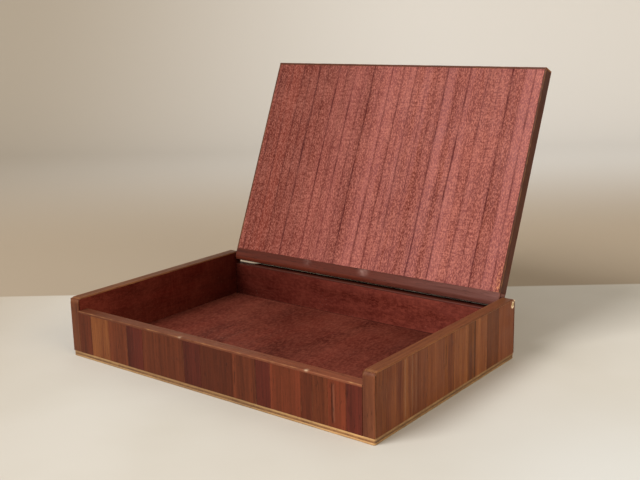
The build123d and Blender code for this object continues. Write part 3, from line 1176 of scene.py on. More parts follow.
@dataclass
class Base:
    """The three-ply bottom that the walls stand on."""

    plies: tuple[str, ...] = ("bottom", "core", "top")
    corner: float = 1.3 * MM
    setback: tuple[float, ...] = (0.03 * MM, 0.16 * MM, 0.05 * MM)     # of each ply's cut edge
    tips: tuple[float, ...] = (0.4 * MM, 0.12 * MM, 0.12 * MM)         # rounding of each ply's arrises

    def build(self, finishes: Finishes) -> None:
        """Make each ply: a rounded rectangle carried upwards, its cut edge a little uneven.

        Args:
            finishes: The materials.
        """
        for level, (ply, back, tip) in enumerate(zip(self.plies, self.setback, self.tips)):
            core = ply == "core"
            node = f"base_{ply}_ply"
            low, high = corners_of(node)
            corners = ((low[0], low[1]), (high[0], low[1]), (high[0], high[1]), (low[0], high[1]))
            board = Board(low, high, 2, 11 + level, tip=tip, worn=0.0, corners=corners,
                          radii=(self.corner,) * 4, pitch=1.2 * MM, stride=0.4 * MM,
                          grain=1 if core else 0, arc_steps=8)
            made = board.surface()
            x, y = made.points[..., 0], made.points[..., 1]
            uneven = (drift_field(21 + level, x, y, (5 * MM, 5 * MM))
                      + 0.5 * drift_field(31 + level, x, y, (2 * MM, 2 * MM)))
            right_end = np.clip((x - 0.4 * high[0]) / (0.5 * high[0]), 0, 1)
            # painted shade and light: the ends, facing sideways, are darker, and the front and back faces
            # lighten toward the right end
            made.values["light"] = (-0.14 - 0.22 * np.abs(made.normals[..., 0])
                                    + 0.5 * right_end * np.abs(made.normals[..., 1]))
            made.sink(back + 0.05 * MM * (uneven + 1.5))
            skin = Skin(BOX_AXES)
            skin.add(marks_for(made))
            finish_piece(f"ply_{ply}", skin, finishes.material(PLY_CORE if core else PALE_PLY), "box",
                         (node,))


@dataclass
class Tray:
    """The stained inside of the box: its floor and the linings of its four walls."""

    # The tones at the ends of each lining are painted shade and light: the left lining darkens toward the
    # back, and the back lining runs from shade at its left end to light at its right.
    tones: dict[str, tuple[float, float]] = field(default_factory=lambda: {     # how light at both ends
        "left": (-0.06, -0.64), "right": (-0.1, -0.2), "front": (-0.1, -0.1), "back": (-0.42, 0.34)})

    def floor(self, finishes: Finishes) -> None:
        """Make the floor, with painted shade darker to the back and right, a painted shadow line along two of
        its joints and dust just inside them.

        Args:
            finishes: The materials.
        """
        low, high = corners_of("floor_veneer")
        board = Board(low, high, 1, 41, easing=0.1 * MM, tip=0.1 * MM, worn=0.0, fine=(1,),
                      fine_pitch=0.9 * MM, stride=1.2 * MM)
        made = board.surface()
        x, y = made.points[..., 0], made.points[..., 1]
        made.sink(0.06 * MM * (1 + drift_field(43, x, y, (30 * MM, 40 * MM))))
        rightward = np.clip((x - low[0]) / (high[0] - low[0]), 0, 1)
        rearward = np.clip((y - low[1]) / (high[1] - low[1]), 0, 1)
        patches = drift_field(44, x, y, (28 * MM, 34 * MM))
        # painted shade: darker to the right and to the back; the patches are the stain's own unevenness
        made.values["light"] = -0.04 - 0.1 * rightward ** 2 - 0.2 * rearward ** 2 + 0.12 * patches
        made.values["ruddy"] = 0.5 + 0.5 * drift_field(46, x, y, (26 * MM, 22 * MM))
        # painted shadow: a dark line where the floor meets the back and left linings
        made.values["streak"] = 0.8 * swell(y, high[1], 0.8 * MM) + 0.6 * swell(x, low[0], 0.7 * MM)
        dusty = swell(y, high[1] - 2.2 * MM, 1.3 * MM) + 0.6 * swell(x, low[0] + 1.6 * MM, 1.2 * MM)
        made.values["wear"] = np.clip(dusty * (0.75 + 0.4 * drift_field(45, x, y, (9 * MM, 3 * MM))), 0, 1)
        skin = Skin(BOX_AXES)
        skin.add(marks_for(made))
        finish_piece("tray_floor", skin, finishes.material(FLOOR_STAIN), "box",
                     ("floor_veneer",))

    def lining(self, wall: str, seed: int, finishes: Finishes) -> None:
        """Make one wall's lining, its painted shade and light running from one end to the other.

        Args:
            wall: Which wall.
            seed: The lining's own seed.
            finishes: The materials.
        """
        node = f"{wall}_wall_lining"
        low, high = corners_of(node)
        run = 1 if wall in ("left", "right") else 0
        board = Board(low, high, run, seed, easing=0.12 * MM, tip=0.1 * MM, worn=0.03 * MM, pitch=1.5 * MM)
        made = board.surface()
        shift = made.points[..., run]
        share = (shift - low[run]) / (high[run] - low[run])
        begin, finish = self.tones[wall]
        # painted shade and light from one end to the other; the drift is the stain's own tone
        made.values["light"] = begin + (finish - begin) * share + 0.1 * drift(seed + 10, shift, 25 * MM)
        # on the back lining the lean to the lighter rose tone grows toward its lit right end, as painted
        # light
        made.values["ruddy"] = 0.2 + 0.7 * share if wall == "back" else 0.4 * (1 - share)
        skin = Skin(BOX_AXES)
        skin.add(marks_for(made))
        finish_piece(f"{wall}_inner_veneer", skin, finishes.material(TRAY_STAIN), "box",
                     (node,))

    def build(self, finishes: Finishes) -> None:
        """Make the floor and the four linings.

        Args:
            finishes: The materials.
        """
        self.floor(finishes)
        for number, wall in enumerate(self.tones):
            self.lining(wall, 50 + number, finishes)


@dataclass
class Rims:
    """The strips along the tops of the front and back walls, thumbed and chipped by use."""

    front_arris: float = 0.5 * MM
    back_arris: float = 1.0 * MM
    small: float = 0.1 * MM            # rounding of the arrises that hardly show
    crisp: float = 0.05 * MM           # rounding of the back rim's outer upper arris
    hollow_length: float = 17.0 * MM
    hollow_depth: float = 0.8 * MM
    rest: float = 0.172 * MM           # how far the back rim rises to where the open lid rests
    chips: tuple[float, ...] = (-16.5 * MM, 63.0 * MM)     # along the front rim
    chip_depth: float = 0.22 * MM

    def front(self, finishes: Finishes) -> None:
        """Make the front rim. Each chip is a small hump of extra wear along the outer arris.

        Args:
            finishes: The materials.
        """
        low, high = corners_of("front_wall_rim")
        radii = (self.small, self.small, self.front_arris, self.front_arris)
        made = self.rim(low, high, 70, 0.1 * MM, radii)
        x, y, z = (made.points[..., k] for k in range(3))
        top = np.clip((z - low[2]) / (high[2] - low[2]), 0, 1) ** 2
        outer = swell(y, low[1], 1.3 * MM) * top
        nick = sum(swell(x, where, 0.8 * MM) for where in self.chips) * (0.75 + 0.5 * drift(71, x, 0.8 * MM))
        made.sink(self.chip_depth * nick * outer)
        made.values["chip"] = np.clip(nick * outer * 0.9, 0, 1)
        made.points[..., 2] -= 0.04 * MM * (1 + drift(72, x, 14 * MM)) * top
        share = np.clip((x - low[0]) / (high[0] - low[0]), 0, 1)
        # painted sheen: the rim lightens toward its right end
        made.values["light"] = -0.06 + 0.45 * share + 0.5 * share ** 4
        self.fit("front", made, 0.0, finishes)

    def back(self, finishes: Finishes) -> None:
        """Make the back rim, raised under the open lid and hollowed at its left end.

        Args:
            finishes: The materials.
        """
        low, high = corners_of("back_wall_rim")
        made = self.rim(low, high, 75, 0.02 * MM, (self.small, self.small, self.crisp, self.back_arris))
        x, y, z = (made.points[..., k] for k in range(3))
        height = np.clip((z - low[2]) / (high[2] - low[2]), 0, 1)
        made.values["wear"] = 0.35 * made.values["wear"]
        rear = np.clip((y - high[1] + 3.2 * MM) / (2.0 * MM), 0, 1)
        rise = self.rest * height ** 2 * rear * rear * (3 - 2 * rear)
        half = 0.5 * self.hollow_length
        ramp = np.clip(1 - (x - low[0] - half) / half, 0, 1)
        ramp = ramp * ramp * (3 - 2 * ramp)
        raised = np.clip((z + rise - low[2]) / (high[2] - low[2]), 0, 1)
        made.points[..., 2] += rise - ramp * self.hollow_depth * raised
        share = np.clip((x - low[0]) / (high[0] - low[0]), 0, 1)
        # painted shade: the rim under the open lid is darker, less so toward its right end
        made.values["light"] = -0.5 + 0.34 * share
        self.fit("back", made, 1.0, finishes)

    @staticmethod
    def rim(low: Vec3, high: Vec3, seed: int, worn: float, radii: tuple[float, ...]) -> Surface:
        """Carry a rim's rectangle, with its own roundings, from left to right.

        Args:
            low: Low corner.
            high: High corner.
            seed: The rim's own seed.
            worn: How much its roundings vary.
            radii: Rounding of each corner, from the low one on, anticlockwise in (y, z).

        Returns:
            The surface.
        """
        rectangle = ((low[1], low[2]), (high[1], low[2]), (high[1], high[2]), (low[1], high[2]))
        return Board(low, high, 0, seed, tip=0.12 * MM, worn=worn, corners=rectangle, radii=radii,
                     pitch=0.6 * MM, stride=0.8 * MM).surface()

    @staticmethod
    def fit(place: str, made: Surface, ruddy: float, finishes: Finishes) -> None:
        """Turn a finished rim surface into its piece.

        Args:
            place: Which rim, front or back.
            made: Its surface.
            ruddy: How red it leans.
            finishes: The materials.
        """
        skin = Skin(BOX_AXES)
        skin.add(marks_for(made, ruddy=ruddy))
        finish_piece(f"{place}_rim", skin, finishes.material(EDGING_WOOD), "box",
                     (f"{place}_wall_rim",))

    def build(self, finishes: Finishes) -> None:
        """Make both rims.

        Args:
            finishes: The materials.
        """
        self.front(finishes)
        self.back(finishes)


@dataclass
class SideEdgings:
    """The strips that cap each side wall: up its front end, along its top and down its rear end."""

    thickness: float = 1.2 * MM
    corner: float = 3.0 * MM
    # the last spot, by the hinge pin, is broken wood painted pale also as the pin head's highlight
    broken: tuple[Vec3, ...] = (       # place, height and size of each broken spot
        (-13.7 * MM, 34.8 * MM, 0.9 * MM), (29.8 * MM, 34.6 * MM, 0.7 * MM), (64.4 * MM, 32.4 * MM, 1.1 * MM))

    def outlines(self, low: Vec3, high: Vec3) -> dict[str, tuple[tuple, tuple]]:
        """Work out the three outlines in the upright plane of the wall.

        The wall's top corners are arcs of the corner radius. A strip ends where the arc crosses its
        inner line, so each outline has one corner at the crossing and one where the arc's tangent
        meets the strip's outer line.

        Args:
            low: Low corner of the whole wall.
            high: High corner of the whole wall.

        Returns:
            For each strip, its corners anticlockwise in (y, z), and their roundings.
        """
        r, t, small = self.corner, self.thickness, 0.15 * MM
        drop = r - math.sqrt(r * r - (r - t) ** 2)
        slope = (r - t) / math.sqrt(r * r - (r - t) ** 2)
        upper = high[2] - drop - t * slope
        reach = drop / slope
        y0, y1, z0, z1 = low[1], high[1], low[2], high[2]
        front = ((y0, z0), (y0 + t, z0), (y0 + t, z1 - drop), (y0, upper))
        rear = ((y1 - t, z0), (y1, z0), (y1, upper), (y1 - t, z1 - drop))
        top = ((y0 + t, z1 - t), (y1 - t, z1 - t), (y1 - t, z1 - drop), (y1 - t - reach, z1),
               (y0 + t + reach, z1), (y0 + t, z1 - drop))
        return {
            "front": (front, (small, small, 0.03 * MM, r)),
            "rear": (rear, (small, small, r, 0.03 * MM)),
            "top": (top, (0.05 * MM, 0.05 * MM, 0.03 * MM, r, r, 0.03 * MM)),
        }

    def flecks(self, made: Surface, high: np.ndarray) -> np.ndarray:
        """Small broken spots on the right wall's outer upper arris, ragged by a smooth drift.

        Args:
            made: A strip of the right wall.
            high: High corner of the whole wall.

        Returns:
            How bare each point is, from 0 to 1.
        """
        x, y, z = (made.points[..., k] for k in range(3))
        outer = np.clip((x - high[0] + 0.9 * MM) / (0.5 * MM), 0, 1)
        spots = np.zeros_like(x)
        for place, height, size in self.broken:
            gap = np.hypot(y - place, z - height) * (1 + 0.3 * drift(97, y + z, 0.4 * MM))
            spots = np.maximum(spots, np.clip((size - gap) / (0.3 * MM), 0, 1))
        return spots * outer

    @staticmethod
    def light(side: str, place: str, rearward: np.ndarray) -> np.ndarray:
        """Painted light on a strip: along the top it fades to the back, most of all on the left, and the
        right wall's front strip is lighter.

        Args:
            side: Which wall, left or right.
            place: Which strip of the wall.
            rearward: How far back each point is, from 0 to 1.

        Returns:
            The 'light' value of each point.
        """
        if place == "top":
            return 0.27 - 0.18 * rearward if side == "right" else 0.2 - 0.56 * rearward
        return np.full_like(rearward, 0.16 if (side, place) == ("right", "front") else 0.0)

    def build(self, finishes: Finishes) -> None:
        """Make the six strips.

        Args:
            finishes: The materials.
        """
        for number, side in enumerate(("left", "right")):
            front, rear = (corners_of(f"{side}_wall_{end}_edging") for end in ("front", "rear"))
            low, high = np.minimum(front[0], rear[0]), np.maximum(front[1], rear[1])
            outlines = self.outlines(tuple(low), tuple(high))
            for order, (place, (corners, radii)) in enumerate(outlines.items()):
                seed = 80 + 10 * number + order
                grain = 1 if place == "top" else 2
                board = Board(tuple(low), tuple(high), 0, seed, tip=0.6 * MM, worn=0.0, corners=corners,
                              radii=radii, pitch=1.0 * MM, stride=0.5 * MM, grain=grain, arc_steps=6)
                made = board.surface()
                along, edge = made.points[..., grain], made.values["wear"]
                made.values["wear"] = np.clip(edge * (0.8 + 0.6 * drift(seed, along, 6 * MM)), 0, 1)
                made.sink(0.06 * MM * (1 + drift(seed + 3, along, 4 * MM)) * np.clip(edge, 0, 1))
                rearward = (made.points[..., 1] - low[1]) / (high[1] - low[1])
                made.values["light"] = self.light(side, place, rearward)
                if side == "right":
                    made.values["chip"] = self.flecks(made, high)
                skin = Skin(BOX_AXES)
                skin.add(marks_for(made, ruddy=-1.0 if place == "top" else -0.3))
                finish_piece(f"{side}_{place}_cap", skin, finishes.material(EDGING_WOOD), "box",
                             (f"{side}_wall_{place}_edging",))


@dataclass
class Lid:
    """The lid: stained inner face, edging strips, veneered top and the solid strip on its pins."""

    opening: float = math.radians(113.0)
    half: float = 93.0 * MM
    edging: float = 1.0 * MM
    front_edging: float = 1.2 * MM
    back: float = 2.3 * MM              # hinge axis to the lid's back edge
    length: float = 131.0 * MM
    under: float = -3.4 * MM            # inner face, from the hinge axis
    top: float = 3.6 * MM
    strip: float = 7.0 * MM
    bore: float = 1.05 * MM
    bore_depth: float = 12.0 * MM
    growth_lines: tuple[tuple[float, float], ...] = (      # place from the left edge in mm, and strength
        (4.4, 0.7), (9.0, 0.4), (13.0, 0.55), (17.5, 0.4), (22.0, 0.6), (28.0, 0.45), (34.5, 1.0),
        (41.0, 0.4), (49.5, 0.95), (56.0, 0.4), (62.0, 0.7), (69.0, 0.4), (75.5, 0.85), (82.0, 0.35),
        (88.5, 0.65), (96.5, 0.8), (101.0, 0.4), (105.5, 0.55), (114.0, 0.55), (120.0, 0.4), (126.5, 0.9),
        (134.0, 0.4), (140.5, 0.95), (147.0, 0.4), (152.5, 0.6), (160.0, 0.35), (167.0, 0.95),
        (174.0, 0.4), (180.0, 0.65))
    worn_spots: tuple[tuple[float, float, float], ...] = (     # place, reach and strength, on the hinge strip
        (5.8 * MM, 2.6 * MM, 1.0), (-35.6 * MM, 2.2 * MM, 0.35))

    def placement(self) -> Placement:
        """The lid's own axes: X as the box, Y to its back edge, Z out of its top face.

        Returns:
            Where they lie in the shared frame.
        """
        c, s = math.cos(self.opening), math.sin(self.opening)
        axes = np.array([(1.0, 0.0, 0.0), (0.0, c, -s), (0.0, s, c)])
        return Placement(np.array(frame["joints"][0]["pos_m"], float), axes)

    def growth(self, x: np.ndarray, y: np.ndarray) -> np.ndarray:
        """Strength of the growth lines over the lid's inner face.

        A line's strength at a point is s exp(-(d / w)^2) with a fainter halo, where d is the distance
        to a line that wanders by a smooth drift, and s and w drift along it too.

        Args:
            x: Places across the lines.
            y: Places along them.

        Returns:
            The strength of the strongest line at each point, from 0 to 1.
        """
        streak = np.zeros_like(x)
        for number, (place, strength) in enumerate(self.growth_lines):
            start = -self.half + place * MM
            skew = 0.012 * np.clip(1 - place / 70.0, 0, 1)
            centre = start + skew * (y + 0.06) + 0.3 * MM * drift(110 + number, y, 26 * MM)
            width = (0.42 + 0.12 * drift(130 + number, y, 9 * MM)) * MM
            force = 1.25 * strength * np.clip(0.85 + 0.4 * drift(150 + number, y, 9 * MM), 0.2, 1.1)
            gap = x - centre
            line = force * np.exp(-((gap / width) ** 2))
            halo = 0.14 * strength * np.exp(-((gap / (2.2 * MM)) ** 2))
            streak = np.maximum(streak, line + halo * (1 - line))
        return np.clip(streak, 0, 1)

    def lining(self, finishes: Finishes, placement: Placement) -> None:
        """Make the stained inner face, rubbed bare at the right end of its hinge edge.

        Args:
            finishes: The materials.
            placement: The lid's axes.
        """
        low = (-self.half + self.edging, self.back - self.length + self.front_edging, self.under)
        high = (self.half - self.edging, self.back - self.strip, self.under + 0.6 * MM)
        board = Board(low, high, 1, 101, easing=0.1 * MM, tip=0.1 * MM, worn=0.0, fine=(3,),
                      fine_pitch=0.45 * MM, stride=1.6 * MM, arc_steps=2)
        made = board.surface()
        x, y = made.points[..., 0], made.points[..., 1]
        made.values["streak"] = self.growth(x, y)
        # painted light: the face lightens toward the right and toward the hinge, and leans to the lighter
        # rose tone as it lightens; the uneven drift is the wood's own tone
        sweep = np.clip((x + 75 * MM) / (95 * MM), 0, 1)
        near_hinge = np.clip((y - low[1]) / (high[1] - low[1]), 0, 1) ** 2
        uneven = 0.04 * drift(171, x, 7 * MM) + 0.03 * drift_field(172, x, y, (20 * MM, 40 * MM))
        made.values["light"] = -0.44 + 0.21 * sweep * sweep * (3 - 2 * sweep) + 0.1 * near_hinge + uneven
        made.values["ruddy"] = sweep
        reach = np.clip((y - high[1] + 20 * MM) / (20 * MM), 0, 1) ** 1.5
        ragged = 0.7 + 0.5 * drift_field(173, x, y, (1.2 * MM, 2.5 * MM))
        made.values["bare"] = np.clip(swell(x, high[0], 2.6 * MM) * reach * ragged, 0, 1)
        hollow = 1 + drift_field(174, x, y, (12 * MM, 30 * MM))
        made.sink(0.02 * MM * made.values["streak"] + 0.02 * MM * hollow)
        skin = Skin(placement)
        skin.add(marks_for(made))
        finish_piece("lid_inner_face", skin, finishes.material(LID_STAIN), "lid",
                     ("lid_lining",))

    def edgings(self, finishes: Finishes, placement: Placement) -> None:
        """Make the three thin strips round the lid.

        Args:
            finishes: The materials.
            placement: The lid's axes.
        """
        free = self.back - self.length
        inner, rear = free + self.front_edging, self.back - self.strip
        strips = {
            "front": ((-self.half, free, self.under), (self.half, inner, self.top), 0),
            "left": ((-self.half, inner, self.under), (-self.half + self.edging, rear, self.top), 1),
            "right": ((self.half - self.edging, inner, self.under), (self.half, rear, self.top), 1),
        }
        for number, (place, (low, high, run)) in enumerate(strips.items()):
            board = Board(low, high, run, 181 + number, easing=0.28 * MM,
                          tip=(0.3 if place == "front" else 0.05) * MM, worn=0.12 * MM, pitch=1.2 * MM,
                          stride=1.0 * MM)
            made = board.surface()
            skin = Skin(placement)
            # painted shade: the right strip, facing away from the lamps, is darker than the other two
            skin.add(marks_for(made, light=-0.45 if place == "right" else -0.3, ruddy=0.2))
            finish_piece(f"lid_{place}_strip", skin, finishes.material(EDGING_WOOD), "lid",
                         (f"lid_{place}_edging",))

    def rear_strip(self, finishes: Finishes, placement: Placement) -> None:
        """Make the solid strip on the hinge edge, with a blind bore in each end.

        Its section has a nose rounded about the hinge axis. At each end the outline is drawn in
        straight to the bore's circle, along lines from the axis, and follows the bore inwards.

        Args:
            finishes: The materials.
            placement: The lid's axes.
        """
        nose = -self.under
        rise = math.sqrt(nose * nose - self.back * self.back)
        meet = self.back - (nose - rise) * rise / self.back
        front = self.back - self.strip
        corners = ((front, self.under), (meet, self.under), (self.back, -rise), (self.back, self.top),
                   (front, self.top))
        radii = (0.15 * MM, nose, 0.2 * MM, 0.06 * MM, 0.15 * MM)
        board = Board((-self.half, front, self.under), (self.half, self.back, self.top), 0, 191,
                      tip=0.45 * MM, worn=0.0, corners=corners, radii=radii, pitch=0.7 * MM,
                      stride=1.0 * MM, arc_steps=8)
        made = board.surface()
        x, y = made.points[..., 0], made.points[..., 1]
        worn_spot = sum(strength * swell(x, place, reach) for place, reach, strength in self.worn_spots)
        inward = np.clip(-made.normals[..., 2], 0, 1)
        facing = inward * np.clip(1 - np.abs(y + 3.4 * MM) / (3.2 * MM), 0, 1)
        patch = worn_spot * facing * (0.7 + 0.6 * drift_field(192, x, y, (1.1 * MM, 1.1 * MM)))
        made.values["chip"] = np.clip(0.45 * patch, 0, 0.45)
        made.values["wear"] = np.clip(made.values["wear"] * 0.3, 0, 1)
        # painted sheen: the strip lightens toward its right end and leans there to its wood's greyish pink
        # tone
        rightward = np.clip(x / self.half, 0, 1)
        made.values["light"] = 0.07 + 0.05 * x / self.half + 0.5 * rightward ** 4
        made.values["ruddy"] = rightward
        made.sink(0.1 * MM * np.clip(patch, 0, 1))
        rows = []
        for end, way in ((0, 1.0), (-1, -1.0)):
            ring = made.points[end]
            ray = ring[:, 1:] / np.linalg.norm(ring[:, 1:], axis=1)[:, None]
            mouth = np.column_stack([ring[:, 0], ray * self.bore])
            deep = mouth + np.array([way * self.bore_depth, 0.0, 0.0])
            rows.append(np.stack([deep, mouth] if way > 0 else [mouth, deep]))
        points = np.concatenate([rows[0], made.points, rows[1]])
        pad = {name: np.concatenate([value[:1], value[:1], value, value[-1:], value[-1:]])
               for name, value in made.values.items() if name != "grain"}
        whole = Surface(points, np.zeros_like(points), pad)
        whole.values["grain"] = board.grain_coordinates(points)
        skin = Skin(placement)
        skin.add(marks_for(whole))
        finish_piece("hinge_strip", skin, finishes.material(STRIP_WOOD), "lid",
                     ("lid_rear_strip",))

    def build(self, finishes: Finishes) -> None:
        """Make every piece of the lid.

        Args:
            finishes: The materials.
        """
        placement = self.placement()
        self.lining(finishes, placement)
        self.edgings(finishes, placement)
        self.rear_strip(finishes, placement)
        Face("lid", "lid", 0, 1, 1, 6, (0.05, -0.04, 0.0, 0.08, -0.03), (0.2, -0.4, 0.1, 0.5), placement,
             pitch=0.6 * MM).build(finishes)


@dataclass
class HiddenBoards:
    """The boards and pins that stay as the frame has them, and only get their finish."""

    cores: tuple[str, ...] = ("floor_board", "left_wall_core", "right_wall_core", "front_wall_core",
                              "back_wall_core", "lid_core")
    pins: tuple[str, ...] = ("left_hinge_pin", "right_hinge_pin")

    def build(self, finishes: Finishes) -> None:
        """Dress the hidden boards in core wood and the pins in brass.

        Args:
            finishes: The materials.
        """
        for names, finish in ((self.cores, CORE_WOOD), (self.pins, PIN_BRASS)):
            for name in names:
                node = frame["nodes"][name]
                node.data.materials.clear()
                node.data.materials.append(finishes.material(finish))
                LOG.info("%s: dressed as %s", name, finish.name)


@dataclass(frozen=True)
class Lamp:
    """One soft square lamp that points at the box."""

    name: str
    eye: Vec3
    size: float          # its side, in metres
    power: float         # in watts
    colour: Vec3
    aim: Vec3 = (0.0, 0.0, 0.05)

    def hang(self) -> None:
        """Put the lamp in the scene, turned to its aim."""
        data = bpy.data.lights.new(self.name, "AREA")
        data.shape, data.size, data.energy, data.color = "SQUARE", self.size, self.power, self.colour
        lamp = bpy.data.objects.new(self.name, data)
        lamp.location = self.eye
        lamp.rotation_mode = "QUATERNION"
        lamp.rotation_quaternion = (Vector(self.aim) - Vector(self.eye)).to_track_quat("-Z", "Y")
        bpy.context.scene.collection.objects.link(lamp)


@dataclass
class Studio:
    """Pale floor, soft lights and the camera."""

    eye: Vec3 = (0.312882, -0.376442, 0.179114)
    azimuth: float = math.radians(37.692)
    elevation: float = math.radians(13.197)
    roll: float = math.radians(-1.161)
    lens: float = 53.72
    table_edge: float = 0.616      # from the camera to where the table's tone gives way to the wall's
    room: Colour = (1.0, 0.97, 0.925, 1.0)
    room_light: float = 0.39
    lamps: tuple[Lamp, ...] = (
        Lamp("key", (-0.7, -2.0, 2.0), 1.3, 74.0, (1.0, 0.985, 0.96)),
        Lamp("fill", (2.0, -0.2, 0.7), 1.6, 26.0, (1.0, 0.84, 0.6)))

    def back(self) -> np.ndarray:
        """Level direction away from the camera."""
        return np.array([-math.sin(self.azimuth), math.cos(self.azimuth), 0.0])

    def side(self) -> np.ndarray:
        """Level direction to the camera's right."""
        return np.array([math.cos(self.azimuth), math.sin(self.azimuth), 0.0])

    def camera(self) -> None:
        """Stand the camera at its eye point, turned by azimuth, elevation and roll."""
        fall = np.array([0.0, 0.0, -math.sin(self.elevation)])
        ahead, right = self.back() * math.cos(self.elevation) + fall, self.side()
        up = np.cross(right, ahead)
        c, s = math.cos(self.roll), math.sin(self.roll)
        side, rise = c * right + s * up, c * up - s * right
        data = bpy.data.cameras.new("camera")
        data.lens, data.sensor_width, data.clip_start = self.lens, 36.0, 0.01
        camera = bpy.data.objects.new("camera", data)
        bpy.context.scene.collection.objects.link(camera)
        turn = Matrix((side.tolist(), rise.tolist(), (-ahead).tolist())).transposed()
        camera.matrix_world = Matrix.Translation(Vector(self.eye)) @ turn.to_4x4()
        bpy.context.scene.camera = camera

    def floor(self) -> None:
        """Lay the sweep: a flat floor that curves up into a wall a long way behind.

        Along the way back t, the height is 0 up to the bend, then R(1 - cos) of the angle turned,
        then straight up.
        """
        bend, radius, tall, wide = 1.3, 0.4, 1.6, 3.0
        turn = np.linspace(0, math.pi / 2, 17)
        ahead = np.concatenate([[-3.0, 0.0], bend + radius * np.sin(turn), [bend + radius]])
        height = np.concatenate([[0.0, 0.0], radius * (1 - np.cos(turn)), [tall]])
        foot, up = np.array([self.eye[0], self.eye[1], 0.0]), np.array([0.0, 0.0, 1.0])
        line = foot + ahead[:, None] * self.back() + height[:, None] * up
        sheet = line[:, None] + np.array([-wide, wide])[None, :, None] * self.side()
        index = np.arange(len(ahead) * 2).reshape(-1, 2)
        quads = np.stack([index[:-1, 0], index[:-1, 1], index[1:, 1], index[1:, 0]], axis=-1)
        mesh = bpy.data.meshes.new("sweep")
        mesh.from_pydata(sheet.reshape(-1, 3).tolist(), [], quads.tolist())
        mesh.polygons.foreach_set("use_smooth", np.ones(len(mesh.polygons), bool))
        sweep = bpy.data.objects.new("sweep", mesh)
        bpy.context.scene.collection.objects.link(sweep)
        sweep.data.materials.append(self.floor_material())

    @staticmethod
    def reach(bench: Bench, place: bpy.types.NodeSocket, way: np.ndarray) -> bpy.types.NodeSocket:
        """How far each place lies along a direction.

        Args:
            bench: Where the material is laid out.
            place: The places.
            way: The direction.

        Returns:
            The distance from the origin.
        """
        node = bench.add("ShaderNodeVectorMath", operation="DOT_PRODUCT")
        bench.put(node.inputs[0], place)
        node.inputs[1].default_value = way.tolist()
        return node.outputs["Value"]

    def floor_material(self) -> bpy.types.Material:
        """Pale table tone in front, a warmer wall tone beyond the table's edge, both with painted shade and
        light.

        Returns:
            The material.
        """
        material = bpy.data.materials.new("sweep paper")
        material.use_nodes = True
        bench = Bench(material.node_tree)
        shader, out = bench.add("ShaderNodeBsdfPrincipled"), bench.add("ShaderNodeOutputMaterial")
        bench.put(out.inputs["Surface"], shader.outputs["BSDF"])
        place = bench.add("ShaderNodeTexCoord").outputs["Object"]
        away, across = self.reach(bench, place, self.back()), self.reach(bench, place, self.side())
        start = float(np.dot(self.eye, self.back())) + self.table_edge
        middle = float(np.dot(self.eye, self.side()))

        veins = bench.spread(bench.noise(place, 9.0, 3.0, 0.5), 0.4, 0.7)
        table = bench.blend(veins, shade(210, 206, 198), shade(203, 198, 188))
        # painted shade: the table darkens to the left
        painted_shade_left = bench.spread(across, middle - 0.1, middle - 0.32, smooth=True)
        table = bench.blend(painted_shade_left, table, shade(174, 159, 138))
        # painted light: the table lightens at the front right
        rightward = bench.spread(across, middle, middle + 0.12, smooth=True)
        close = bench.spread(away, start - 0.16, start - 0.28, smooth=True)
        table = bench.blend(bench.times(rightward, close), table, shade(216, 216, 213))

        # painted light: the wall is lit to the right and darker to the left
        painted_light_right = bench.spread(across, middle - 0.55, middle + 0.25, smooth=True)
        wall = bench.blend(painted_light_right, shade(166, 156, 142), shade(214, 211, 207))
        # painted shadow: the wall darkens low down, near the table
        raised = bench.spread(away, start + 0.12, start + 0.6, smooth=True)
        wall = bench.blend(raised, shade(172, 157, 138), wall)
        beyond = bench.spread(away, start - 0.001, start + 0.001)
        bench.put(shader.inputs["Base Color"], bench.blend(beyond, table, wall))
        shader.inputs["Roughness"].default_value = 0.85
        shader.inputs["Specular IOR Level"].default_value = 0.08
        return material

    def build(self) -> None:
        """Set up the floor, the lights and the camera."""
        self.floor()
        self.camera()
        for lamp in self.lamps:
            lamp.hang()
        world = bpy.data.worlds.new("room")
        world.use_nodes = True
        sky = world.node_tree.nodes["Background"]
        sky.inputs["Color"].default_value, sky.inputs["Strength"].default_value = self.room, self.room_light
        bpy.context.scene.world = world
        bpy.context.scene.view_settings.view_transform = "Standard"
        LOG.info("studio set")


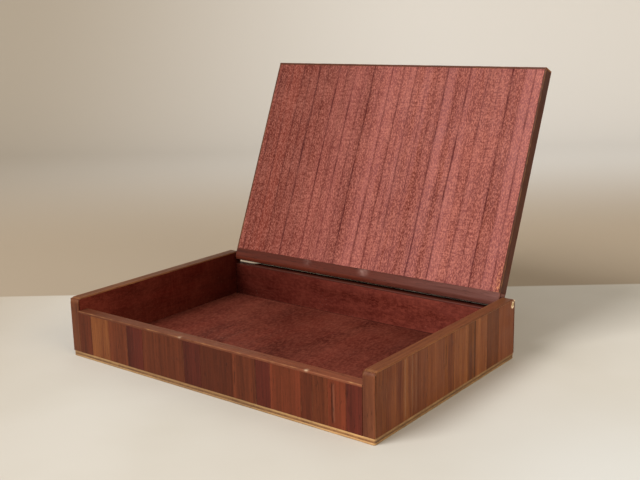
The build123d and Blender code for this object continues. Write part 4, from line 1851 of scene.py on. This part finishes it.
def veneered_faces() -> tuple[Face, ...]:
    """The box's four veneered faces, the strips' tones in order along each face's axis.

    Returns:
        The faces.
    """
    pin = tuple(frame["joints"][0]["pos_m"][1:3])
    quiet_ruddy = (0.2, -0.4, 0.1, 0.5)
    return (
        Face("front", "box", 0, 2, 0, 1,
             (0.1, 0.12, 0.07, 0.0, -0.1, -0.06, -0.12, 0.0, 0.03, -0.14, 0.09, 0.03, -0.06, 0.34),
             (0.1, -1.0, 0.0, 0.1, 0.1, 0.0, 0.1, 0.2, 0.2, 0.5, 0.1, 0.0, 0.6, 0.2), BOX_AXES,
             cracks=(Groove(19.6, 9.5, 17.5, 0.5, 0.6), Groove(77.4, 4.0, 24.5, 0.5, 0.75),
                     Groove(85.5, 18.5, 22.5, 0.6, 0.5)),
             scratches=(Groove(78.4, 5.0, 24.0, 0.4, 0.06),)),
        Face("right", "box", 1, 2, 1, 2,
             (0.3, 0.34, 0.0, 0.14, -0.1, 0.7, 0.05, 0.38, 0.1, 0.2, 0.4),
             (-0.9, -0.9, -1.0, -0.7, -0.6, -0.8, -1.0, -0.9, -1.0, -0.6, -0.8), BOX_AXES,
             cracks=(Groove(-5.7, 17.0, 29.0, 0.5, 0.5), Groove(22.0, 3.0, 34.0, 0.6, 0.6)),
             scratches=(Groove(-41.5, 4.0, 33.0, 0.6, 0.06), Groove(-35.5, 4.0, 33.0, 0.5, 0.06),
                        Groove(-32.5, 4.0, 33.0, 0.5, 0.05)), pin=pin),
        Face("back", "box", 0, 2, 2, 3, (0.0, 0.05, -0.04), quiet_ruddy, BOX_AXES),
        Face("left", "box", 1, 2, 3, 4, (0.02, -0.04, 0.05), quiet_ruddy, BOX_AXES, pin=pin),
    )


def main() -> None:
    """Build every sub-assembly in order and report each piece."""
    logging.basicConfig(level=logging.INFO, format="%(message)s")
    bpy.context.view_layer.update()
    finishes = Finishes()
    for part in (Base(), Tray(), Rims(), SideEdgings(), *veneered_faces(), Lid(), HiddenBoards()):
        part.build(finishes)
    Studio().build()


if __name__ == "__main__":
    main()
